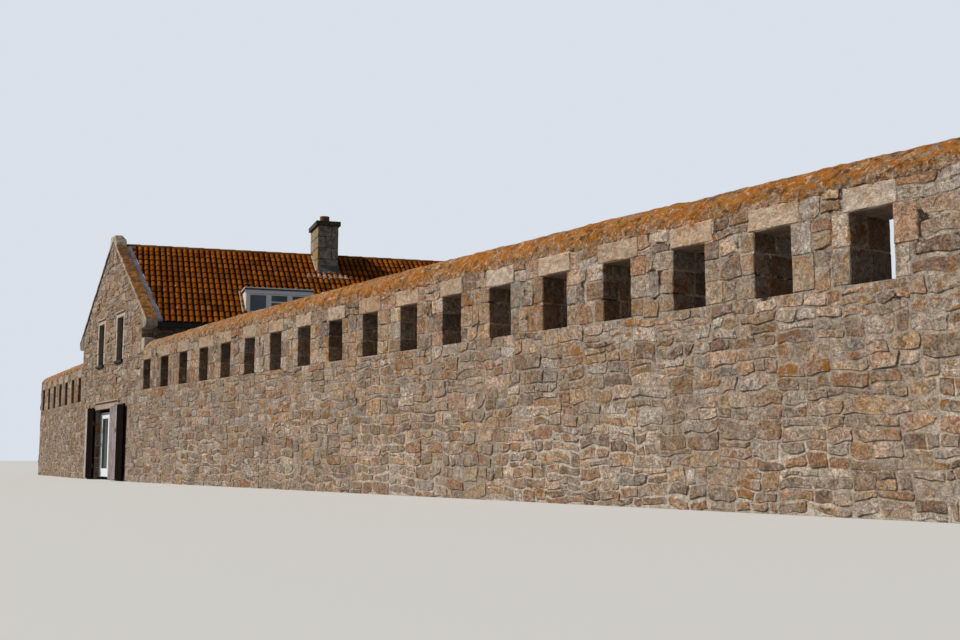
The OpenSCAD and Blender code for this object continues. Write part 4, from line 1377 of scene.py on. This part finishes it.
def gates():
    """The lilac boards of the gate leaves and the dark ones, painted near black with shade as well, with
    the left leaf's hinges and a latch.
    """
    joinery("left_leaf_dark_boards", GABLE, leaf_boards(LEFT_LEAF, (2, 0)), DARK_SHADED_BOARDS,
            "left_gate_leaf", ("left_gate_leaf",), ragged=0.09)
    joinery("left_leaf_pale_boards", GABLE, leaf_boards(LEFT_LEAF, (0, 6)), EDGE_BOARD,
            "left_gate_leaf", ragged=0.03)
    knuckles = new_mesh()
    for low, high in KNUCKLES:
        inner, outer = 0.0112, 0.02
        corners = ((inner, 0, low), (outer, 0, low), (outer, 0, high), (inner, 0, high))
        bmesh.ops.spin(knuckles, geom=chain(knuckles, corners, closed=True), axis=(0, 0, 1), cent=(0, 0, 0),
                       dvec=(0, 0, 0), angle=2 * math.pi, steps=24, use_merge=True)
    bmesh.ops.recalc_face_normals(knuckles, faces=knuckles.faces[:])
    bmesh.ops.transform(knuckles, matrix=GABLE @ turned(*GATE_PIN, 0), verts=knuckles.verts[:])
    piece("left_leaf_knuckles", knuckles, IRON, "left_gate_leaf")
    x, y = GATE_PIN
    links = [((LEFT_LEAF[1] - 0.052, y - 0.006, low), (x - 0.0165, y + 0.006, high))
             for low, high in KNUCKLES]
    joinery("left_leaf_links", GABLE, links, IRON, "left_gate_leaf", edge=0.002)

    joinery("lilac_leaf_boards", GABLE, leaf_boards(LILAC_LEAF, (0, 1)), PALE_BOARDS,
            replaces=("folding_gate_leaves",), ragged=0.07)
    joinery("lilac_leaf_edge_board", GABLE, leaf_boards(LILAC_LEAF, (5, 0)), EDGE_BOARD,
            ragged=0.02)
    joinery("dark_leaf_boards", GABLE, leaf_boards(DARK_LEAF), DARK_SHADED_BOARDS, ragged=0.09)
    x, y = LILAC_LEAF[1] - 0.075, LEAF_FRONT
    plate = (x - 0.03, y - 0.005, 1.33), (x + 0.03, y + 0.002, 1.45)
    bar = (x - 0.045, y - 0.010, 1.38), (x + 0.07, y - 0.004, 1.40)
    joinery("gate_latch", GABLE, [plate, bar], IRON, edge=0.002)


def glazed_door():
    """The white door: rails, glazing beads, pane and lever, and the dark board over it, which also carries
    the painted shadow of the lintel.
    """
    x0, x1, z0, z1 = GLAZED_DOOR
    y0, y1 = GLAZED_FRONT, GLAZED_FRONT + 0.05
    left, right, low, high = x0 + STILE, x1 - STILE, z0 + BOTTOM_RAIL, z1 - STILE
    rails = [((x0, y0, z0), (left, y1, z1)), ((right, y0, z0), (x1, y1, z1)),
             ((left, y0, z0), (right, y1, low)), ((left, y0, high), (right, y1, z1))]
    joinery("glazed_door_rails", GABLE, rails, WHITE, "glazed_door", ("glazed_door",))
    bead = 0.018
    beads = [b for y in (y0 + 0.003, y1 - 0.015)
             for b in (((left, y, low), (left + bead, y + 0.012, high)),
                       ((right - bead, y, low), (right, y + 0.012, high)),
                       ((left, y, low), (right, y + 0.012, low + bead)),
                       ((left, y, high - bead), (right, y + 0.012, high)))]
    joinery("glazed_door_beads", GABLE, beads, WHITE, "glazed_door", edge=0.003)
    pane = (left - 0.006, y0 + 0.020, low - 0.006), (right + 0.006, y0 + 0.030, high + 0.006)
    joinery("glazed_door_pane", GABLE, [pane], DOOR_GLASS, "glazed_door", edge=0.001)
    x, z = x0 + 0.055, 1.035
    handle = [((x - 0.018, y0 - 0.008, z - 0.09), (x + 0.018, y0 + 0.004, z + 0.07)),
              ((x - 0.008, y0 - 0.030, z - 0.008), (x + 0.008, y0, z + 0.008)),
              ((x - 0.008, y0 - 0.030, z - 0.008), (x + 0.115, y0 - 0.018, z + 0.010))]
    joinery("glazed_door_lever", GABLE, handle, BLACK, "glazed_door", edge=0.003)
    # Painted shadow: the dark board over the door stands in for the lintel's shadow as well as for the
    # board
    board = (DOOR_X + 0.004, y0 - 0.018, 1.955), (DOOR_X + DOOR_W - 0.004, y0 - 0.006, 2.046)
    joinery("door_head_board", GABLE, [board], DARK_SHADED_BOARDS, edge=0.003)


def dormer_window():
    """The fascia, three sashes with a bar in the middle one, the sill and the edge of the flat roof."""
    y0, y1, front = DORMER_Y, DORMER_END, DORMER_X
    under = DORMER_Z - DORMER_ROOF_T
    head = under - DORMER_HEAD
    fascia = (front + 0.001, y0 - 0.03, head + 0.012), (front + 0.022, y1 + 0.03, under)
    joinery("dormer_fascia", RIDGE, [fascia], FASCIA, edge=0.003)

    sill = slope_z(front, RIDGE_Z) + 0.06
    near, far, bar = front - 0.045, front - 0.006, 0.032
    pane = (DORMER_W - 4 * DORMER_RAIL) / 3
    sashes = []
    for i in range(3):
        a = y0 + DORMER_RAIL + i * (pane + DORMER_RAIL)
        b = a + pane
        sashes += [((near, a, sill), (far, a + bar, head)), ((near, b - bar, sill), (far, b, head))]
        sashes += [((near, a + bar, low), (far, b - bar, low + bar)) for low in (sill, head - bar)]
        if i == 1:
            sashes.append(((near, a + bar, head - 0.235), (far, b - bar, head - 0.195)))
    joinery("dormer_sashes", RIDGE, sashes, WHITE, edge=0.003)
    board = (front - 0.01, y0 - 0.01, sill - 0.05), (front + 0.05, y1 + 0.01, sill - 0.01)
    joinery("dormer_sill", RIDGE, [board], WHITE)

    y0, y1, front, back = y0 - DORMER_EAVE, y1 + DORMER_EAVE, front + DORMER_EAVE, DORMER_BACK + 0.1
    low, high = DORMER_Z - 0.022, DORMER_Z + 0.008
    edges = [((front - 0.012, y0 - 0.006, low), (front + 0.006, y1 + 0.006, high)),
             ((back, y0 - 0.006, low), (front, y0 + 0.012, high)),
             ((back, y1 - 0.012, low), (front, y1 + 0.006, high))]
    joinery("dormer_roof_edge", RIDGE, edges, CHEEK, edge=0.003)


def dormer_cheek(name, near, far):
    """The boards of one cheek, cut off along the slope."""
    rows = 6
    top, front = DORMER_Z - DORMER_ROOF_T, DORMER_X - 0.05
    step = (top - slope_z(front, RIDGE_Z)) / rows
    bm = new_mesh()
    for row in range(rows):
        low = top - (row + 1) * step
        box(bm, (DORMER_BACK, near, low + 0.003), (front, far, low + step - 0.003), Matrix(), 0.0)
    cut_off(bm, (0, 0, RIDGE_Z + 0.02), (-RISE, 0, -1))
    bevel(bm, bm.edges[:], 0.003)
    bmesh.ops.recalc_face_normals(bm, faces=bm.faces[:])
    bmesh.ops.transform(bm, matrix=RIDGE, verts=bm.verts[:])
    piece(name, bm, CHEEK)


def dormer_creases():
    """The sheets that close the corners between the dormer's cheeks and the tiles."""
    creases = Masonry(97)
    for near, far in ((DORMER_Y - 0.10, DORMER_Y - 0.004), (DORMER_END + 0.004, DORMER_END + 0.10)):
        section = sloping(DORMER_BACK + 0.05, DORMER_X + 0.06, RIDGE_Z + 0.055, 0.022)
        join(creases.bm, drawn_along_ridge(section, near, far))
    creases.weather(0.004, 0.006, 4)
    piece("dormer_flashing", creases.bm, FILLET)


gates()
glazed_door()
dormer_window()
dormer_cheek("dormer_near_boards", DORMER_Y - 0.009, DORMER_Y + 0.002)
dormer_cheek("dormer_far_boards", DORMER_END - 0.002, DORMER_END + 0.009)
dormer_creases()


# Camera, light and floor

def stage():
    """A wide pale floor, a pale sky that lights softly, a low sun and the camera."""
    bm = bmesh.new()
    bmesh.ops.create_grid(bm, x_segments=1, y_segments=1, size=400)
    mesh = bpy.data.meshes.new("floor")
    bm.to_mesh(mesh)
    bm.free()
    floor = bpy.data.objects.new("floor", mesh)
    bpy.context.collection.objects.link(floor)
    floor.location.z = -0.002
    f = Finish("pale floor", roughness=0.9)
    seen = f.add("ShaderNodeLightPath", out="Is Camera Ray")
    mesh.materials.append(f.wear(f.blend(seen, (0.22, 0.21, 0.20), (0.56, 0.56, 0.55))))

    world = bpy.data.worlds.new("sky")
    world.use_nodes = True
    bpy.context.scene.world = world
    nodes, links = world.node_tree.nodes, world.node_tree.links
    light = nodes["Background"]
    light.inputs["Color"].default_value = (0.86, 0.92, 1.0, 1)
    light.inputs["Strength"].default_value = 0.26
    shown = nodes.new("ShaderNodeBackground")
    shown.inputs["Color"].default_value = (0.70, 0.75, 0.82, 1)
    pick, path = nodes.new("ShaderNodeMixShader"), nodes.new("ShaderNodeLightPath")
    links.new(path.outputs["Is Camera Ray"], pick.inputs[0])
    links.new(light.outputs[0], pick.inputs[1])
    links.new(shown.outputs[0], pick.inputs[2])
    links.new(pick.outputs[0], nodes["World Output"].inputs["Surface"])

    sun = bpy.data.lights.new("sun", "SUN")
    sun.energy = 4.0
    sun.color = (1.0, 0.955, 0.89)
    sun.angle = math.radians(3)
    lamp = bpy.data.objects.new("sun", sun)
    bpy.context.collection.objects.link(lamp)
    towards = Vector((-0.50, -0.75, 0.86))
    lamp.rotation_euler = towards.to_track_quat("Z", "Y").to_euler()

    camera = bpy.data.objects.new("camera", bpy.data.cameras.new("camera"))
    bpy.context.collection.objects.link(camera)
    camera.location = (29.979, -10.024, 0.6)
    camera.rotation_euler = (math.radians(96.75), 0, math.radians(55.65))
    camera.data.sensor_width = 36
    camera.data.lens = 44.03
    camera.data.clip_end = 1000
    bpy.context.scene.camera = camera
    bpy.context.scene.view_settings.view_transform = "Standard"


stage()
